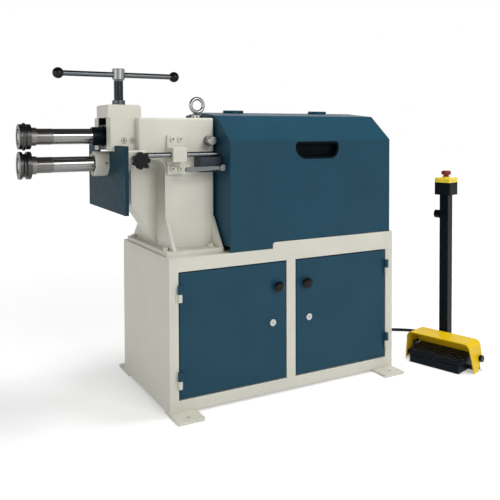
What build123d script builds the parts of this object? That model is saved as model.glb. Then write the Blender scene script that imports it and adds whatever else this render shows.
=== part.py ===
from build123d import *
import os
from math import acos, cos, pi, radians, sin, sqrt, tan

# Electric bead roller: a cast frame on a cabinet carries two geared shafts with forming dies.
# Millimetres. X runs along the shafts (dies at -X), Y to the back, Z up.
# Origin: on the floor, in the middle of the four floor bolt holes.

# Clearances
running_clearance = 0.05
slide_clearance = 0.15
rest_gap = 0.3

# Cabinet
cabinet_width = 1000
cabinet_depth = 500
cabinet_height = 546
cabinet_sheet = 3
top_plate = 10
foot_thickness = 10
foot_width = 100
foot_length = 130
foot_reach = 80
floor_hole_radius = 7
floor_hole_reach = 45
floor_hole_inset = 50
foot_corner = 6
stile_width = 35
centre_stile = 40
sill_height = 43
head_rail = 49
jamb_depth = 25
lip_height = 24
lip_start = -80
lip_radius = 10
control_width = 260
control_depth = 120
control_height = 320
control_round = 8
control_door_margin = 12
control_door_corner = 6
control_door_sheet = 4

# Doors
door_gap = 4
door_depth = 20
door_sheet = 2
door_round = 1.5
hinge_radius = 8
hinge_pin_radius = 4
hinge_stand_off = 9
hinge_tab = 4
hinge_tab_reach = 14
door_knuckle_height = 32
frame_knuckle_height = 28
upper_hinge_height = 421
lower_hinge_height = 115
door_knob_radius = 20
door_knob_depth = 30
door_knob_inset = 44
door_knob_height = 404
lock_radius = 11
lock_flange_radius = 13.5
lock_flange = 3.5
lock_inset = 62
lock_height = 266
lock_round = 1.2
key_slot_width = 1.6
key_slot_length = 9
key_slot_depth = 3
cam_length = 86
cam_width = 14
cam_corner = 5
cam_sheet = 3
cam_gap = 2

# Frame casting, measured from the cabinet top
flange_thickness = 16
flange_front = 208
flange_back = 232
flange_margin = 8
flange_right_margin = 6
flange_corner = 10
casting_length = 297
casting_half = 130
casting_left = -565
column_width = 197
beam_height = 151
beam_top_height = 494
beam_corner_radius = 40
web_half = 44
web_corner_height = 172
web_foot_height = 21
boss_radius = 48
casting_wall = 22
casting_round = 8
core_corner = 20
tunnel_clearance = 6
rib_thickness = 12
rib_height = 108
rib_sink = 1
rib_foot_margin = 4
rib_foot_height = 4
foundation_bolt_radius = 6
foundation_washer_radius = 11.5
washer_thickness = 2.5
washer_rim = 1
bolt_head_height = 8
bolt_overhang = 8
foundation_bolt_inset = 13
foundation_front = 165
foundation_back = 190

# Head with its sliding bearing block
cheek_length = 93
cheek_outer = 100
cheek_inner = 54
cheek_height = 118
gib_thickness = 7.5
gib_end_gap = 1
gib_web = 1
gib_screw_radius = 6
gib_screw_bore = 10.5
gib_screw_head = 9
gib_screw_socket = 5
gib_screw_sink = 1
gib_screw_gap = 2
gib_screw_places = (49, 80)
gib_screw_drop = 16
cap_length = 125
cap_half = 70
cap_height = 47
cap_round = 14
cap_left_round = 5
cap_screw_radius = 4
cap_screw_head = 6.5
cap_screw_bore = 7
cap_screw_height = 7
cap_screw_sink = 2
cap_screw_left = 14
cap_screw_right = 13
screw_from_head = 63
screw_radius = 16.5
block_below_axis = 48
block_above_axis = 43
block_travel = 22
block_end_gap = 4
block_chamfer = 3
lug_radius = 22
lug_height = 20
lug_side_gap = 4
lug_headroom = 6
screw_foot_radius = 14
screw_foot_height = 8
screw_neck_radius = 9
screw_neck_margin = 1
nut_radius = 21
nut_flange_radius = 24
nut_flange_height = 9
nut_chamfer = 1.2
tee_axis_height = 653
tee_half = 220
tee_bar_radius = 10
tee_ball_radius = 20
tee_hub_radius = 23.5
tee_hub_height = 45
tee_hub_chamfer = 2
ball_socket = 12

# Shafts, dies and gears
lower_axis_height = 327
shaft_spacing = 100
shaft_radius = 28
die_left = -954
die_length = 40
die_bead_offset = 18
die_bead_radius = 6.5
die_gap = 3
die_step = 4.5
groove_margin = 1
spigot_radius = 16
spigot_sink = 1
shaft_chamfer = 2
upper_shaft_overhang = 18
lower_shaft_gap = 62
ring_nut_radius = 32
ring_nut_length = 17
ring_nut_gap = 2
collar_rim = 4
collar_length = 12
end_nut_radius = 25
end_nut_depth = 8
end_nut_recess = 3
front_bush_radius = 38
front_bush_half = 22
front_bush_neck = 34
front_bush_reach = 41
front_bush_chamfer = 2
housing_radius = 45
housing_reach = 129
housing_seat = 45
housing_round = 2.5
bush_radius = 36
gear_left = -235
gear_width = 40
gear_teeth = 20
gear_backlash = 0.6
gear_dedendum = 1.25
flank_points = 4
swivel_x = -115
swivel_length = 70
swivel_radius = 40
trunnion_radius = 15
trunnion_margin = 1
ear_inner = 46
ear_outer = 76

# Drive behind the gears
stand_plate = 12
stand_half = 150
stand_left_margin = 15
stand_right_margin = 20
stand_bolt_inset = 22
pedestal_spread = 20
pedestal_waist = 60
pedestal_rim = 14
ear_rim = 20
platform_inset = 10
platform_leg = 10
platform_leg_inset = 20
platform_side_margin = 5
gearbox_left = 30
gearbox_length = 200
gearbox_half = 105
gearbox_drop = 160
side_pocket_margin = 30
side_pocket_depth = 25
side_pocket_drop = 60
side_pocket_floor = 20
output_flange = 18
output_flange_rim = 26
output_depth = 32
output_margin = 1
motor_flange = 14
motor_flange_rim = 8
motor_radius = 92
motor_end_gap = 11
fin_count = 20
fin_height = 10
fin_thickness = 4
fan_cover_length = 52
fan_cover_rim = 2
fan_cover_round = 14
terminal_place = 70
terminal_length = 96
terminal_width = 84
terminal_height = 44
coupling_radius = 48
coupling_overlap = 4
coupling_spacing = 20
coupling_end_gap = 20
jaw_count = 3
jaw_depth = 16
jaw_width = 24
jaw_margin = 3
jaw_gap = 2
output_radius = 24

# Depth gauge
gauge_plate_x = -640
gauge_plate_thickness = 12
gauge_plate_corner = 4
gauge_plate_half = 228
gauge_plate_top = 67
gauge_plate_bottom = 170
gauge_notch_gap = 8
gauge_bore_gap = 2
rod_radius = 9.5
rod_forward = 175
rod_above_axis = 33
rod_end = -275
rod_chamfer = 1.5
hub_length = 72
hub_half = 24
hub_drop = 6
hub_corner = 6
pinch_slot = 3
star_knob_radius = 31
star_lobes = 7
star_lobe_share = 0.3
star_neck_radius = 12
star_neck_length = 12
star_head_length = 22
knob_from_plate = 46
knob_stud = 5
pinch_drop = 16
bracket_width = 67
bracket_thickness = 12
bracket_above_rod = 71
bracket_below_rod = 74
bracket_from_column = 5
bracket_corner = 6
bracket_round = 2
bracket_block_length = 54
bracket_block_half = 26
bracket_block_depth = 56
bracket_screw_radius = 5
bracket_screw_head = 9
bracket_screw_height = 9
bracket_screw_socket = 4.5
bracket_screw_spread = 15
bracket_screw_from_top = 15
bracket_screw_from_bottom = 22
rest_overhang = 6
rest_length = 87
rest_depth = 60
rest_below_rod = 66
rest_chamfer = 2.5
rest_back_wall = 8
lever_length = 136
lever_hub_radius = 13
lever_hub_length = 24
lever_chamfer = 1.5
lever_stand_off = 14
lever_arm_offset = 6
lever_arm = 12
lever_root_half = 6
lever_tip_radius = 9
lever_tip_drop = 4
lever_from_end = 14
lever_below_rod = 49
lever_pin_radius = 7
lever_pin_reach = 2

# Collared pin, as (start, radius, length) of its discs, and lifting eye
pin_discs = ((0, 19, 14), (14, 14, 10), (24, 17, 22))
pin_inset = 26
pin_drop = 18
pin_chamfer = 2
eye_inset = 28
eye_y = -40
eye_rise = 50
eye_ring = 26
eye_wire = 7
eye_flange_radius = 21
eye_flange_height = 12
eye_neck_radius = 17
eye_neck_taper = 20

# Drive guard and hood
guard_left = -260
guard_right_margin = 15
guard_sheet = 3
hood_fold_height = 408
hood_top_fold_y = -132
hood_top_fold_height = 503
ridge_y = 40
ridge_height = 519
rear_fold_y = 150
rear_fold_height = 508
hood_gap = 2
hood_edge_drop = 0.2
seam_half = 1
panel_drop = 2
panel_overlap = 1
panel_opening_half = 92
panel_opening_rise = 60
louvre_length = 150
louvre_width = 9
louvre_pitch = 34
louvre_columns = 2
louvre_rows = 5
louvre_column_gap = 90
handle_left = 23
handle_width = 200
handle_height = 66
handle_top_drop = 6
handle_depth = 26
handle_top_round = 16
handle_rim = 6
handle_rim_height = 3
handle_wall = 3
hood_hinge_radius = 5
hood_hinge_length = 90
hood_hinge_share = 0.22
hood_leaf_width = 30
hood_leaf_sheet = 2.5

# Foot pedal stand, placed beside the cabinet and turned a little
pedal_x = 682
pedal_y = -327
pedal_turn = 17.2
guard_foot_half = 160
guard_top_half = 142
guard_height = 120
guard_depth = 102
guard_round = 25
guard_leg_set_back = 17
guard_leg_depth = 32
guard_front_cut = 0.85
guard_back_cut = 0.45
pedal_base_thickness = 5
pedal_base_margin = 12
switch_half = 112
switch_front = -30
switch_back = 88
switch_height = 26
pedal_half = 120
pedal_front = -34
pedal_back = 80
pedal_rise = 14
pedal_thickness = 6
pedal_lip = 8
pedal_lip_sheet = 3
pedal_skirt_gap = 3
pedal_skirt_overlap = 2
pedal_barrel_radius = 6
pedal_barrel_gap = 1
pedal_barrel_end_gap = 16
pedal_pin_radius = 3.5
pedal_pin_from_front = 8
pin_block_length = 14
pin_block_width = 12
pin_block_rim = 9
ear_width = 36
ear_thickness = 6
ear_gap = 1
ear_above_screw = 14
side_screw_back = 78
side_screw_height = 50
side_screw_radius = 6
side_knob_radius = 14
side_knob_length = 12
post_side = 40
post_wall = 3
post_top = 717
post_back = 150
post_offset = -40
post_knob_height = 628
post_knob_radius = 18
post_knob_length = 22
post_knob_neck = 8
post_knob_neck_radius = 9
estop_side = 74
estop_corner = 5
estop_box_height = 54
estop_lid_height = 20
estop_lid_round = 2.5
estop_radius = 20.5
estop_head_height = 17
estop_head_round = 6
estop_gap = 3
estop_stem_radius = 12
estop_stem_margin = 1
estop_collar_height = 5
estop_collar_rim = 5
estop_travel = 6
cable_radius = 7
cable_straight = 84
bend_share = 0.45
gland_radius = 13
gland_length = 40
gland_thread_radius = 9
gland_thread_length = 8
gland_hex_height = 10
gland_boot_step = 2
gland_taper = 4
post_gland_height = 35
wall_gland_x = -100
wall_gland_height = 90

# Derived positions
half_width = cabinet_width / 2
half_depth = cabinet_depth / 2
cabinet_top = foot_thickness + cabinet_height
opening_width = (cabinet_width - 2 * stile_width - centre_stile) / 2
opening_height = cabinet_height - sill_height - head_rail
opening_middle_x = (opening_width + centre_stile) / 2
opening_middle_z = foot_thickness + sill_height + opening_height / 2
lower_axis_z = cabinet_top + lower_axis_height
upper_axis_z = lower_axis_z + shaft_spacing
flange_top = cabinet_top + flange_thickness
casting_right = casting_left + casting_length
column_left = casting_right - column_width
beam_top = cabinet_top + beam_top_height
beam_bottom = beam_top - beam_height
head_left = casting_left - cheek_length
screw_x = head_left + screw_from_head
block_half = cheek_inner - gib_thickness - slide_clearance
block_bottom = upper_axis_z - block_below_axis
block_top = upper_axis_z + block_above_axis
lug_top = block_top + lug_height
cap_top = beam_top + cap_height
tee_axis_z = cabinet_top + tee_axis_height
hub_bottom = tee_axis_z - tee_hub_height / 2
hub_top = tee_axis_z + tee_hub_height / 2
die_right = die_left + die_length
bead_x = die_left + die_bead_offset
die_radius = shaft_spacing / 2 - die_gap / 2
die_low_radius = die_radius - die_step
housing_left = casting_left - housing_reach
rod_y = -rod_forward
rod_z = lower_axis_z + rod_above_axis
gauge_left = gauge_plate_x - gauge_plate_thickness / 2
gauge_right = gauge_plate_x + gauge_plate_thickness / 2
guard_right = half_width - guard_right_margin
motor_end = guard_right - guard_sheet - motor_end_gap - fan_cover_length
motor_length = motor_end - gearbox_left - gearbox_length - motor_flange
door_front = -half_depth

upper_axis = Axis((0, 0, upper_axis_z), (1, 0, 0))
lower_axis = Axis((0, 0, lower_axis_z), (1, 0, 0))
upper_plane = Plane(origin=(0, 0, upper_axis_z), x_dir=(1, 0, 0), z_dir=(0, -1, 0))
lower_plane = Plane(origin=(0, 0, lower_axis_z), x_dir=(1, 0, 0), z_dir=(0, -1, 0))
front_plane = Plane(origin=(0, -half_depth, 0), x_dir=(1, 0, 0), z_dir=(0, -1, 0))
back_plane = Plane(origin=(0, half_depth, 0), x_dir=(-1, 0, 0), z_dir=(0, 1, 0))

floor_holes = [
    (sx * (half_width - floor_hole_inset), sy * (half_depth + floor_hole_reach))
    for sx in (-1, 1) for sy in (-1, 1)
]
flange_left = -half_width + flange_margin
foundation_x = [
    flange_left + foundation_bolt_inset,
    casting_right - rib_thickness - 1.5 * foundation_bolt_inset,
]
foundation_holes = [(x, y) for x in foundation_x for y in (-foundation_front, foundation_back)]
platform_top = lower_axis_z - gearbox_drop
platform_left = gearbox_left + platform_inset
platform_length = gearbox_length - 2 * platform_inset
stand_left = swivel_x - swivel_length / 2 - stand_left_margin
stand_right = platform_left + platform_length + stand_right_margin
stand_bolt_x = (stand_left + stand_bolt_inset, stand_right - stand_bolt_inset)
stand_bolt_y = stand_half - stand_bolt_inset
stand_bolts = [(x, y) for x in stand_bolt_x for y in (-stand_bolt_y, stand_bolt_y)]

os.makedirs("parts", exist_ok=True)


def save(piece, name):
    """Names a finished piece and writes it to its own file."""
    piece.part.label = name
    export_step(piece.part, f"parts/{name}.step")


# Cabinet: folded sheet with two framed door openings and a raised lip under the hood
with BuildPart() as cabinet_shell:
    with BuildSketch(Plane.XY.offset(foot_thickness)):
        Rectangle(cabinet_width, cabinet_depth)
    extrude(amount=cabinet_height)
    with BuildSketch(Plane.XY.offset(foot_thickness + cabinet_sheet)):
        Rectangle(cabinet_width - 2 * cabinet_sheet, cabinet_depth - 2 * cabinet_sheet)
    extrude(amount=cabinet_height - cabinet_sheet - top_plate, mode=Mode.SUBTRACT)
    with BuildSketch(front_plane):
        with Locations((-opening_middle_x, opening_middle_z), (opening_middle_x, opening_middle_z)):
            Rectangle(opening_width + 2 * cabinet_sheet, opening_height + 2 * cabinet_sheet)
    extrude(amount=-jamb_depth)
    with BuildSketch(front_plane):
        with Locations((-opening_middle_x, opening_middle_z), (opening_middle_x, opening_middle_z)):
            Rectangle(opening_width, opening_height)
    extrude(amount=-jamb_depth, mode=Mode.SUBTRACT)
    with Locations((0, 0, foot_thickness + cabinet_height / 2)):
        Box(cabinet_sheet, cabinet_depth - cabinet_sheet, cabinet_height - top_plate)
    with BuildSketch(front_plane):
        with BuildLine():
            Polyline(
                (lip_start, cabinet_top),
                (lip_start, cabinet_top + lip_height),
                (half_width, cabinet_top + lip_height),
                (half_width, cabinet_top),
                close=True,
            )
        lip_face = make_face()
        fillet(lip_face.vertices().group_by(Axis.X)[0].sort_by(Axis.Y)[-1], lip_radius)
    extrude(amount=-cabinet_sheet)
    with Locations((half_width - cabinet_sheet / 2, 0, cabinet_top + lip_height / 2)):
        Box(cabinet_sheet, cabinet_depth, lip_height)
    with Locations(*[(x, y, cabinet_top) for x, y in foundation_holes + stand_bolts]):
        Hole(foundation_bolt_radius + rest_gap, depth=top_plate)
    with BuildSketch(back_plane):
        with Locations((-wall_gland_x, wall_gland_height)):
            Circle(gland_thread_radius + running_clearance)
    extrude(amount=-cabinet_sheet, mode=Mode.SUBTRACT)
save(cabinet_shell, "cabinet_shell")

with BuildPart() as cabinet_feet:
    foot_x = half_width - foot_width / 2
    foot_y = half_depth + foot_reach - foot_length / 2
    with BuildSketch():
        with GridLocations(2 * foot_x, 2 * foot_y, 2, 2):
            RectangleRounded(foot_width, foot_length, foot_corner)
        with Locations(*floor_holes):
            Circle(floor_hole_radius, mode=Mode.SUBTRACT)
    extrude(amount=foot_thickness)
save(cabinet_feet, "cabinet_feet")

# Electrical box on the back wall of the right-hand compartment
with BuildPart() as control_box:
    control_y = half_depth - cabinet_sheet - control_depth / 2
    with Locations((opening_middle_x, control_y, opening_middle_z)):
        Box(control_width, control_depth, control_height)
    fillet(control_box.edges().filter_by(Axis.Z), control_round)
    with BuildSketch(Plane(origin=(opening_middle_x, control_y - control_depth / 2, opening_middle_z),
                           x_dir=(1, 0, 0), z_dir=(0, -1, 0))):
        RectangleRounded(control_width - 2 * control_door_margin, control_height - 2 * control_door_margin,
                         control_door_corner)
    extrude(amount=control_door_sheet)
save(control_box, "control_box")


# Door hinges: a pin rises from each frame knuckle into the knuckle on the door
def hinge_place(side):
    """Hinge axis of the left (-1) or right (+1) door."""
    return side * (opening_middle_x + opening_width / 2 - door_gap / 2), door_front - hinge_stand_off


hinge_splits = [foot_thickness + upper_hinge_height, foot_thickness + lower_hinge_height]
with BuildPart() as frame_hinges:
    for side in (-1, 1):
        axis_x, axis_y = hinge_place(side)
        for split in hinge_splits:
            with Locations((axis_x, axis_y, split - frame_knuckle_height / 2)):
                Cylinder(hinge_radius, frame_knuckle_height)
            with Locations((axis_x, axis_y, split + door_knuckle_height / 2 - hinge_pin_radius)):
                Cylinder(hinge_pin_radius, door_knuckle_height)
            with Locations((axis_x + side * hinge_tab_reach / 2, door_front - hinge_tab / 2,
                            split - frame_knuckle_height / 2)):
                Box(hinge_tab_reach, hinge_tab, frame_knuckle_height)
save(frame_hinges, "frame_hinges")


def door(side):
    """Pan-shaped door with its welded knuckles, a lock bore and a knob bore."""
    width = opening_width - 2 * door_gap
    height = opening_height - 2 * door_gap
    axis_x, axis_y = hinge_place(side)
    middle = side * opening_middle_x
    inner_edge = middle - side * width / 2
    with BuildPart() as panel:
        with Locations((middle, door_front + door_depth / 2, opening_middle_z)):
            Box(width, door_depth, height)
        fillet(panel.faces().sort_by(Axis.Y)[0].edges(), door_round)
        with Locations((middle, door_front + door_depth / 2 + door_sheet, opening_middle_z)):
            Box(width - 2 * door_sheet, door_depth, height - 2 * door_sheet, mode=Mode.SUBTRACT)
        with BuildSketch(front_plane):
            with Locations((inner_edge + side * (lock_inset - door_gap), foot_thickness + lock_height)):
                Circle(lock_radius + running_clearance)
        extrude(amount=-door_depth, mode=Mode.SUBTRACT)
        for split in hinge_splits:
            knuckle_z = split + rest_gap + door_knuckle_height / 2
            with Locations((axis_x, axis_y, knuckle_z)):
                Cylinder(hinge_radius, door_knuckle_height)
            with Locations((axis_x - side * hinge_tab_reach / 2, door_front - hinge_tab / 2, knuckle_z)):
                Box(hinge_tab_reach, hinge_tab, door_knuckle_height)
            with Locations((axis_x, axis_y, split + rest_gap + door_knuckle_height / 2)):
                Cylinder(hinge_pin_radius + running_clearance, door_knuckle_height, mode=Mode.SUBTRACT)
    return panel


def door_knob(side):
    """Round black pull knob near the free edge of a door."""
    knob_x = side * (centre_stile / 2 + door_knob_inset)
    knob_plane = Plane(origin=(knob_x, door_front, foot_thickness + door_knob_height),
                       x_dir=(1, 0, 0), z_dir=(0, 0, 1))
    with BuildPart() as knob:
        with BuildSketch(knob_plane):
            with BuildLine():
                Polyline(
                    (0, 0),
                    (0.5 * door_knob_radius, 0),
                    (0.4 * door_knob_radius, -0.4 * door_knob_depth),
                    (0.9 * door_knob_radius, -0.5 * door_knob_depth),
                    (door_knob_radius, -0.6 * door_knob_depth),
                    (door_knob_radius, -0.75 * door_knob_depth),
                    (0.7 * door_knob_radius, -0.94 * door_knob_depth),
                    (0.3 * door_knob_radius, -door_knob_depth),
                    (0, -door_knob_depth),
                    close=True,
                )
            make_face()
        revolve(axis=Axis(knob_plane.origin, (0, 1, 0)))
    return knob


def door_lock(side):
    """Turning cam lock: chromed face with a key slot, barrel, and a cam behind the jamb."""
    lock_x = side * (centre_stile / 2 + lock_inset)
    lock_z = foot_thickness + lock_height
    barrel = jamb_depth + cam_gap
    with BuildPart() as lock:
        with BuildSketch(front_plane):
            with Locations((lock_x, lock_z)):
                Circle(lock_flange_radius)
        extrude(amount=lock_flange)
        fillet(lock.faces().sort_by(Axis.Y)[0].edges(), lock_round)
        with BuildSketch(front_plane):
            with Locations((lock_x, lock_z)):
                Circle(lock_radius)
        extrude(amount=-barrel)
        with BuildSketch(front_plane.offset(lock_flange)):
            with Locations((lock_x, lock_z)):
                Rectangle(key_slot_width, key_slot_length)
        extrude(amount=-key_slot_depth, mode=Mode.SUBTRACT)
        with BuildSketch(front_plane.offset(-barrel)):
            with Locations((lock_x, lock_z + cam_length / 2 - lock_radius)):
                RectangleRounded(cam_width, cam_length, cam_corner)
        extrude(amount=-cam_sheet)
    return lock


for name, side in (("left", -1), ("right", 1)):
    save(door(side), f"{name}_door")
    save(door_knob(side), f"{name}_door_knob")
    save(door_lock(side), f"{name}_door_lock")

# Frame casting: beam and column in one face, a set-back web, ribs, cheeks and two shaft tunnels
gib_screw_x = [head_left + place for place in gib_screw_places]
gib_screw_z = upper_axis_z - gib_screw_drop
tunnel_radius = shaft_radius + tunnel_clearance
flange_right = casting_right + flange_right_margin
with BuildPart() as frame_casting:
    with BuildSketch(Plane.XZ):
        with BuildLine():
            Polyline(
                (casting_left, beam_bottom),
                (column_left, beam_bottom),
                (column_left, flange_top),
                (casting_right, flange_top),
                (casting_right, beam_top),
                (casting_left, beam_top),
                close=True,
            )
        profile = make_face()
        inner_corner = profile.vertices().sort_by_distance((column_left, beam_bottom, 0))[0]
        fillet(inner_corner, beam_corner_radius)
    extrude(amount=casting_half, both=True)
    fillet(frame_casting.edges().filter_by(Axis.Y).group_by(Axis.Z)[-1], casting_round)
    fillet(frame_casting.edges().filter_by(Axis.Z).group_by(Axis.X)[-1], casting_round)
    with BuildSketch(Plane.XZ):
        with BuildLine():
            Polyline(
                (casting_left, beam_bottom + beam_corner_radius),
                (casting_left, cabinet_top + web_corner_height),
                (column_left, cabinet_top + web_foot_height),
                (column_left + web_half, cabinet_top + web_foot_height),
                (column_left + web_half, beam_bottom + beam_corner_radius),
                close=True,
            )
        make_face()
    extrude(amount=web_half, both=True)
    with BuildSketch(Plane.YZ.offset(casting_left)):
        with Locations((0, lower_axis_z)):
            Circle(boss_radius)
    extrude(amount=column_left - casting_left + rib_thickness)
    with BuildSketch(Plane.XY.offset(cabinet_top)):
        with Locations(((flange_left + flange_right) / 2, (flange_back - flange_front) / 2)):
            RectangleRounded(flange_right - flange_left, flange_front + flange_back, flange_corner)
    extrude(amount=flange_thickness)
    for rib_left in (column_left, casting_right - rib_thickness):
        for reach, sign in ((flange_front, -1), (flange_back, 1)):
            with BuildSketch(Plane.YZ.offset(rib_left)):
                with BuildLine():
                    Polyline(
                        (sign * (casting_half - rib_thickness), flange_top - rib_sink),
                        (sign * (reach - rib_foot_margin), flange_top - rib_sink),
                        (sign * (reach - rib_foot_margin), flange_top + rib_foot_height),
                        (sign * casting_half, flange_top + rib_height),
                        (sign * (casting_half - rib_thickness), flange_top + rib_height),
                        close=True,
                    )
                make_face()
            extrude(amount=rib_thickness)
    for sign in (-1, 1):
        with Locations((head_left + cheek_length / 2, sign * (cheek_outer + cheek_inner) / 2,
                        beam_top - cheek_height / 2)):
            Box(cheek_length, cheek_outer - cheek_inner, cheek_height)
    core_top = lower_axis_z - boss_radius - casting_wall
    with BuildSketch(Plane.YZ.offset(casting_right)):
        with Locations((0, (flange_top + core_top) / 2)):
            RectangleRounded(2 * (casting_half - casting_wall), core_top - flange_top, core_corner)
    extrude(amount=-(column_width - casting_wall), mode=Mode.SUBTRACT)
    with BuildSketch(Plane.YZ.offset(casting_left)):
        with Locations((0, lower_axis_z)):
            Circle(housing_radius + running_clearance)
    extrude(amount=housing_seat, mode=Mode.SUBTRACT)
    with BuildSketch(Plane.YZ.offset(casting_left)):
        with Locations((0, lower_axis_z)):
            Circle(tunnel_radius)
        with Locations((0, upper_axis_z + block_travel / 2)):
            SlotCenterToCenter(block_travel, 2 * tunnel_radius, rotation=90)
    extrude(amount=casting_length, mode=Mode.SUBTRACT)
    with Locations(*[(x, y, flange_top) for x, y in foundation_holes]):
        Hole(foundation_bolt_radius + rest_gap, depth=flange_thickness)
    for sign in (-1, 1):
        cheek_face = Plane(origin=(0, sign * cheek_outer, gib_screw_z), x_dir=(1, 0, 0), z_dir=(0, sign, 0))
        with BuildSketch(cheek_face):
            with Locations(*[(x, 0) for x in gib_screw_x]):
                Circle(gib_screw_bore)
        extrude(amount=-gib_screw_bore, mode=Mode.SUBTRACT)
        with BuildSketch(cheek_face):
            with Locations(*[(x, 0) for x in gib_screw_x]):
                Circle(gib_screw_radius + running_clearance)
        extrude(amount=-(cheek_outer - cheek_inner), mode=Mode.SUBTRACT)
save(frame_casting, "frame_casting")

with BuildPart() as guide_gibs:
    for sign in (-1, 1):
        with Locations((head_left + cheek_length / 2, sign * (cheek_inner - gib_thickness / 2),
                        beam_top - cheek_height / 2)):
            Box(cheek_length - 2 * gib_end_gap, gib_thickness, cheek_height - 2 * gib_end_gap)
    for sign in (-1, 1):
        cheek_face = Plane(origin=(0, sign * cheek_inner, gib_screw_z), x_dir=(1, 0, 0), z_dir=(0, sign, 0))
        with BuildSketch(cheek_face):
            with Locations(*[(x, 0) for x in gib_screw_x]):
                Circle(gib_screw_radius + running_clearance)
        extrude(amount=-gib_thickness + gib_web, mode=Mode.SUBTRACT)
save(guide_gibs, "guide_gibs")

# Head cap with its bronze nut; the block's lug rises into a pocket under the cap
cap_screw_y = (cheek_inner + cap_half) / 2
cap_screw_depth = cap_screw_height + cap_screw_sink
cap_screw_x = (head_left + cap_screw_left, head_left + cap_length - cap_screw_right)
cap_screws = [(x, y) for x in cap_screw_x for y in (-cap_screw_y, cap_screw_y)]
cap_pocket = lug_top - beam_top + block_travel + lug_headroom
with BuildPart() as head_cap:
    with Locations((head_left + cap_length / 2, 0, beam_top + cap_height / 2)):
        Box(cap_length, 2 * cap_half, cap_height)
    fillet(head_cap.edges().filter_by(Axis.Y).group_by(Axis.Z)[-1].sort_by(Axis.X)[-1], cap_round)
    fillet(head_cap.edges().filter_by(Axis.Y).group_by(Axis.X)[0].sort_by(Axis.Z)[-1], cap_left_round)
    with BuildSketch(Plane.XY.offset(beam_top)):
        with Locations((screw_x, 0)):
            Circle(lug_radius + lug_side_gap)
    extrude(amount=cap_pocket, mode=Mode.SUBTRACT)
    with Locations((screw_x, 0, cap_top)):
        Hole(nut_radius + running_clearance)
    with Locations(*[(x, y, cap_top) for x, y in cap_screws]):
        CounterBoreHole(cap_screw_radius + running_clearance, cap_screw_bore, cap_screw_depth)
save(head_cap, "head_cap")

with BuildPart() as screw_nut:
    with BuildSketch(Plane.XY.offset(beam_top + cap_pocket)):
        with Locations((screw_x, 0)):
            Circle(nut_radius)
    extrude(amount=cap_height - cap_pocket)
    with BuildSketch(Plane.XY.offset(cap_top)):
        with Locations((screw_x, 0)):
            Circle(nut_flange_radius)
    extrude(amount=nut_flange_height)
    chamfer(screw_nut.faces().sort_by(Axis.Z)[-1].edges(), nut_chamfer)
    with Locations((screw_x, 0, cap_top + nut_flange_height)):
        Hole(screw_radius + running_clearance)
save(screw_nut, "screw_nut")

# Bearing block that slides in the head, with a tee slot for the screw foot
with BuildPart() as bearing_block:
    with Locations((head_left + cheek_length / 2, 0, (block_top + block_bottom) / 2)):
        Box(cheek_length - 2 * block_end_gap, 2 * block_half, block_top - block_bottom)
    chamfer(bearing_block.edges().filter_by(Axis.Y), block_chamfer)
    with BuildSketch(Plane.XY.offset(block_top)):
        with Locations((screw_x, 0)):
            Circle(lug_radius)
    extrude(amount=lug_height)
    with BuildSketch(Plane.YZ.offset(head_left)):
        with Locations((0, upper_axis_z)):
            Circle(front_bush_radius + running_clearance)
    extrude(amount=cheek_length, mode=Mode.SUBTRACT)
    with BuildSketch(Plane.XY.offset(block_top)):
        with Locations((screw_x, 0)):
            SlotOverall(4 * screw_foot_radius, 2 * (screw_foot_radius + rest_gap))
    extrude(amount=screw_foot_height + 2 * rest_gap, mode=Mode.SUBTRACT)
    with BuildSketch(Plane.XY.offset(block_top)):
        with Locations((screw_x - lug_radius / 2, 0)):
            Rectangle(lug_radius, 2 * (screw_neck_radius + rest_gap))
        with Locations((screw_x, 0)):
            Circle(screw_neck_radius + rest_gap)
    extrude(amount=lug_height, mode=Mode.SUBTRACT)
save(bearing_block, "bearing_block")

# Adjusting screw with the tee handle
foot_bottom = block_top + rest_gap
stop_bottom = cap_top + nut_flange_height + rest_gap
neck_top = lug_top + screw_neck_margin
with BuildPart() as adjusting_screw:
    screw_plane = Plane(origin=(screw_x, 0, 0), x_dir=(1, 0, 0), z_dir=(0, -1, 0))
    with BuildSketch(screw_plane):
        with BuildLine():
            Polyline(
                (0, foot_bottom),
                (screw_foot_radius, foot_bottom),
                (screw_foot_radius, foot_bottom + screw_foot_height),
                (screw_neck_radius, foot_bottom + screw_foot_height),
                (screw_neck_radius, neck_top),
                (screw_radius, neck_top + screw_radius - screw_neck_radius),
                (screw_radius, hub_bottom),
                (tee_hub_radius, hub_bottom + (tee_hub_radius - screw_radius)),
                (tee_hub_radius, hub_top - tee_hub_chamfer),
                (tee_hub_radius - tee_hub_chamfer, hub_top),
                (0, hub_top),
                close=True,
            )
        make_face()
    revolve(axis=Axis((screw_x, 0, 0), (0, 0, 1)))
    with BuildSketch(Plane.YZ.offset(screw_x)):
        with Locations((0, tee_axis_z)):
            Circle(tee_bar_radius + running_clearance)
    extrude(amount=tee_hub_radius, both=True, mode=Mode.SUBTRACT)
save(adjusting_screw, "adjusting_screw")

with BuildPart() as stop_nut:
    with BuildSketch(Plane.XY.offset(stop_bottom)):
        with Locations((screw_x, 0)):
            Circle(nut_flange_radius)
            Circle(screw_radius + running_clearance, mode=Mode.SUBTRACT)
    extrude(amount=nut_flange_height)
    chamfer(stop_nut.faces().sort_by(Axis.Z)[-1].outer_wire().edges(), nut_chamfer)
save(stop_nut, "stop_nut")

with BuildPart() as tee_bar:
    bar_half = tee_half - tee_ball_radius + ball_socket
    with BuildSketch(Plane.YZ.offset(screw_x)):
        with Locations((0, tee_axis_z)):
            Circle(tee_bar_radius)
    extrude(amount=bar_half, both=True)
save(tee_bar, "tee_bar")

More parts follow.
